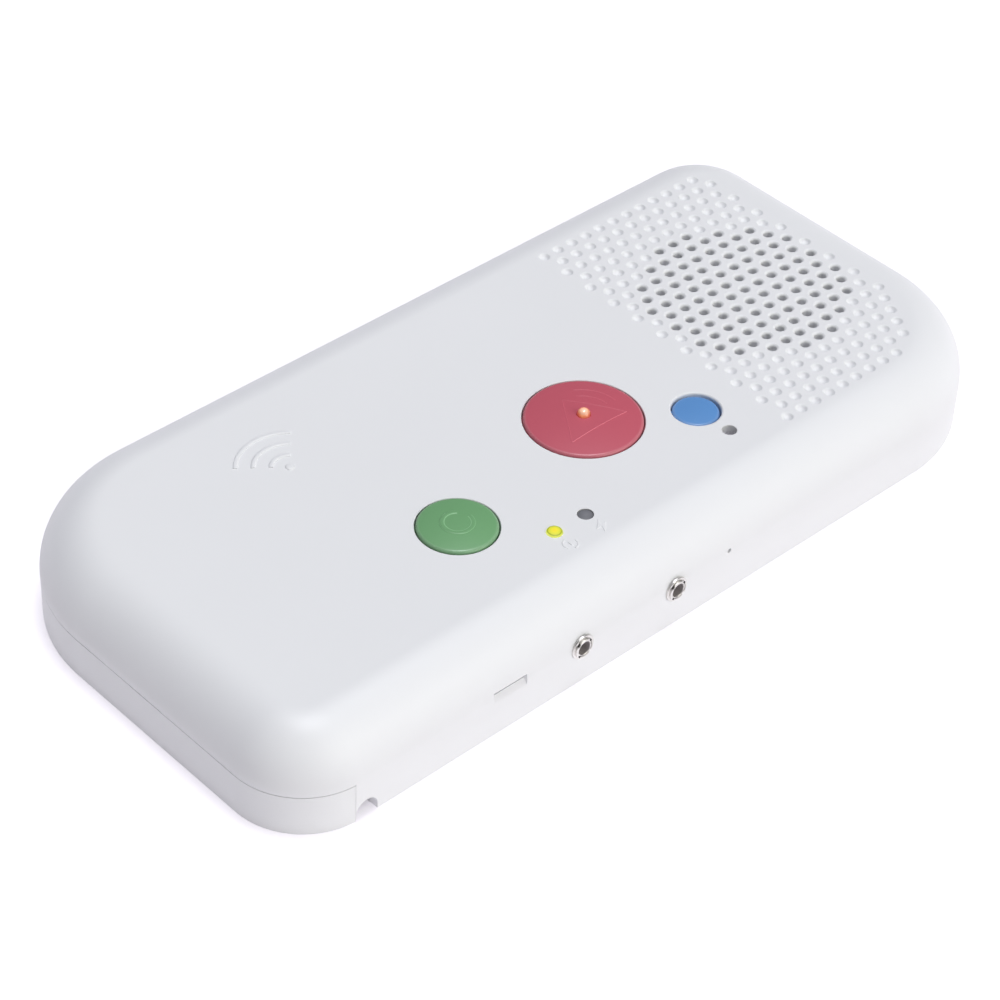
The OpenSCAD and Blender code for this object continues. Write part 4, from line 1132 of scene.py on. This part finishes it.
CLOTH_R = 28.5
CLOTH_T = 0.3
CLOTH_STEPS = 96
CLOTH_CUTS = 7
cloth = fresh(bpy.ops.mesh.primitive_circle_add, "grille_cloth_sheet", vertices=CLOTH_STEPS,
              radius=CLOTH_R * MM, fill_type="TRIFAN")
edit(cloth)
bpy.ops.mesh.subdivide(number_cuts=CLOTH_CUTS)
bpy.ops.transform.translate(value=metres((*GRILLE, CEILING - CLOTH_T / 2)))
bpy.ops.mesh.normals_make_consistent(inside=False)
done()
smooth(cloth, 40, weighted=False)
dress(cloth, "cloth", "case", "grille_cloth")


# Stage: floor, light and the camera, which stands where the regular grille lattice puts it

WORLD_STRENGTH = 0.1
FLOOR_SIZE = 12
FLOOR_DROP = 0.00002
FLOOR_GLOW = (0.97, 0.93, 1.02)
FLOOR_GLOW_STRENGTH = 0.67
# Painted shadow inside the cable notch: how far it dims the floor's glow, and how far in it reaches
NOTCH_SHADE = 0.5
NOTCH_SHADE_MM = 4.0
CAMERA_PLACE = (-0.41297709, -0.41372769, 0.49149426)
CAMERA_TURN = (49.72944, -2.08371, -42.73658)
FOCAL_LENGTH = 110.39
SENSOR = 36


def light(name, direction, strength, tint, spread):
    """A sun that shines from a direction, with its spread in degrees."""
    bpy.ops.object.light_add(type="SUN")
    lamp = bpy.context.object
    lamp.name = name
    lamp.data.color = tint
    x, y, z = direction
    lamp.rotation_euler = (atan2(hypot(x, y), z), 0, atan2(y, x) + pi / 2)
    lamp.data.energy = strength
    lamp.data.angle = radians(spread)


def floor_paper():
    """White paper that glows as lit paper does, with a painted shadow that dims its glow inside the cable
    notch.
    """
    f = Finish("floor_paper")
    x, y, _ = f.axes()
    in_notch = ((x - NOTCH_X).size() < NOTCH_R + REACH) * (y < 0)
    # Painted shadow: the floor's glow fades towards black inside the notch
    shaded = in_notch * f.span(y, -HALF_W, NOTCH_SHADE_MM - HALF_W, 0.0, NOTCH_SHADE)
    return f.surface(Base_Color=f.mix(f.noise(0.02, 3.0), (0.49, 0.49, 0.49), (0.51, 0.51, 0.51)),
                     Roughness=0.8, Emission_Color=f.mix(shaded, FLOOR_GLOW, (0, 0, 0)),
                     Emission_Strength=FLOOR_GLOW_STRENGTH)


light("key_light", (0.2, -0.84, 0.49), strength=1.3, tint=(1.0, 0.995, 0.915), spread=50)
light("overhead_light", (0.15, 0.05, 1.0), strength=2.09, tint=(0.925, 0.938, 1.0), spread=20)

world = bpy.data.worlds.new("studio")
bpy.context.scene.world = world
world.use_nodes = True
background = world.node_tree.nodes["Background"]
background.inputs["Color"].default_value = (1, 1, 1, 1)
background.inputs["Strength"].default_value = WORLD_STRENGTH

bpy.ops.object.select_all(action="DESELECT")
bpy.ops.mesh.primitive_plane_add(size=FLOOR_SIZE, location=(0, 0, -FLOOR_DROP))
floor = bpy.context.object
floor.name = "floor"
floor.data.materials.append(floor_paper())

bpy.ops.object.camera_add(location=CAMERA_PLACE, rotation=[radians(a) for a in CAMERA_TURN])
camera = bpy.context.object
camera.data.sensor_width = SENSOR
camera.data.lens = FOCAL_LENGTH
bpy.context.scene.camera = camera
bpy.context.scene.view_settings.view_transform = "Standard"
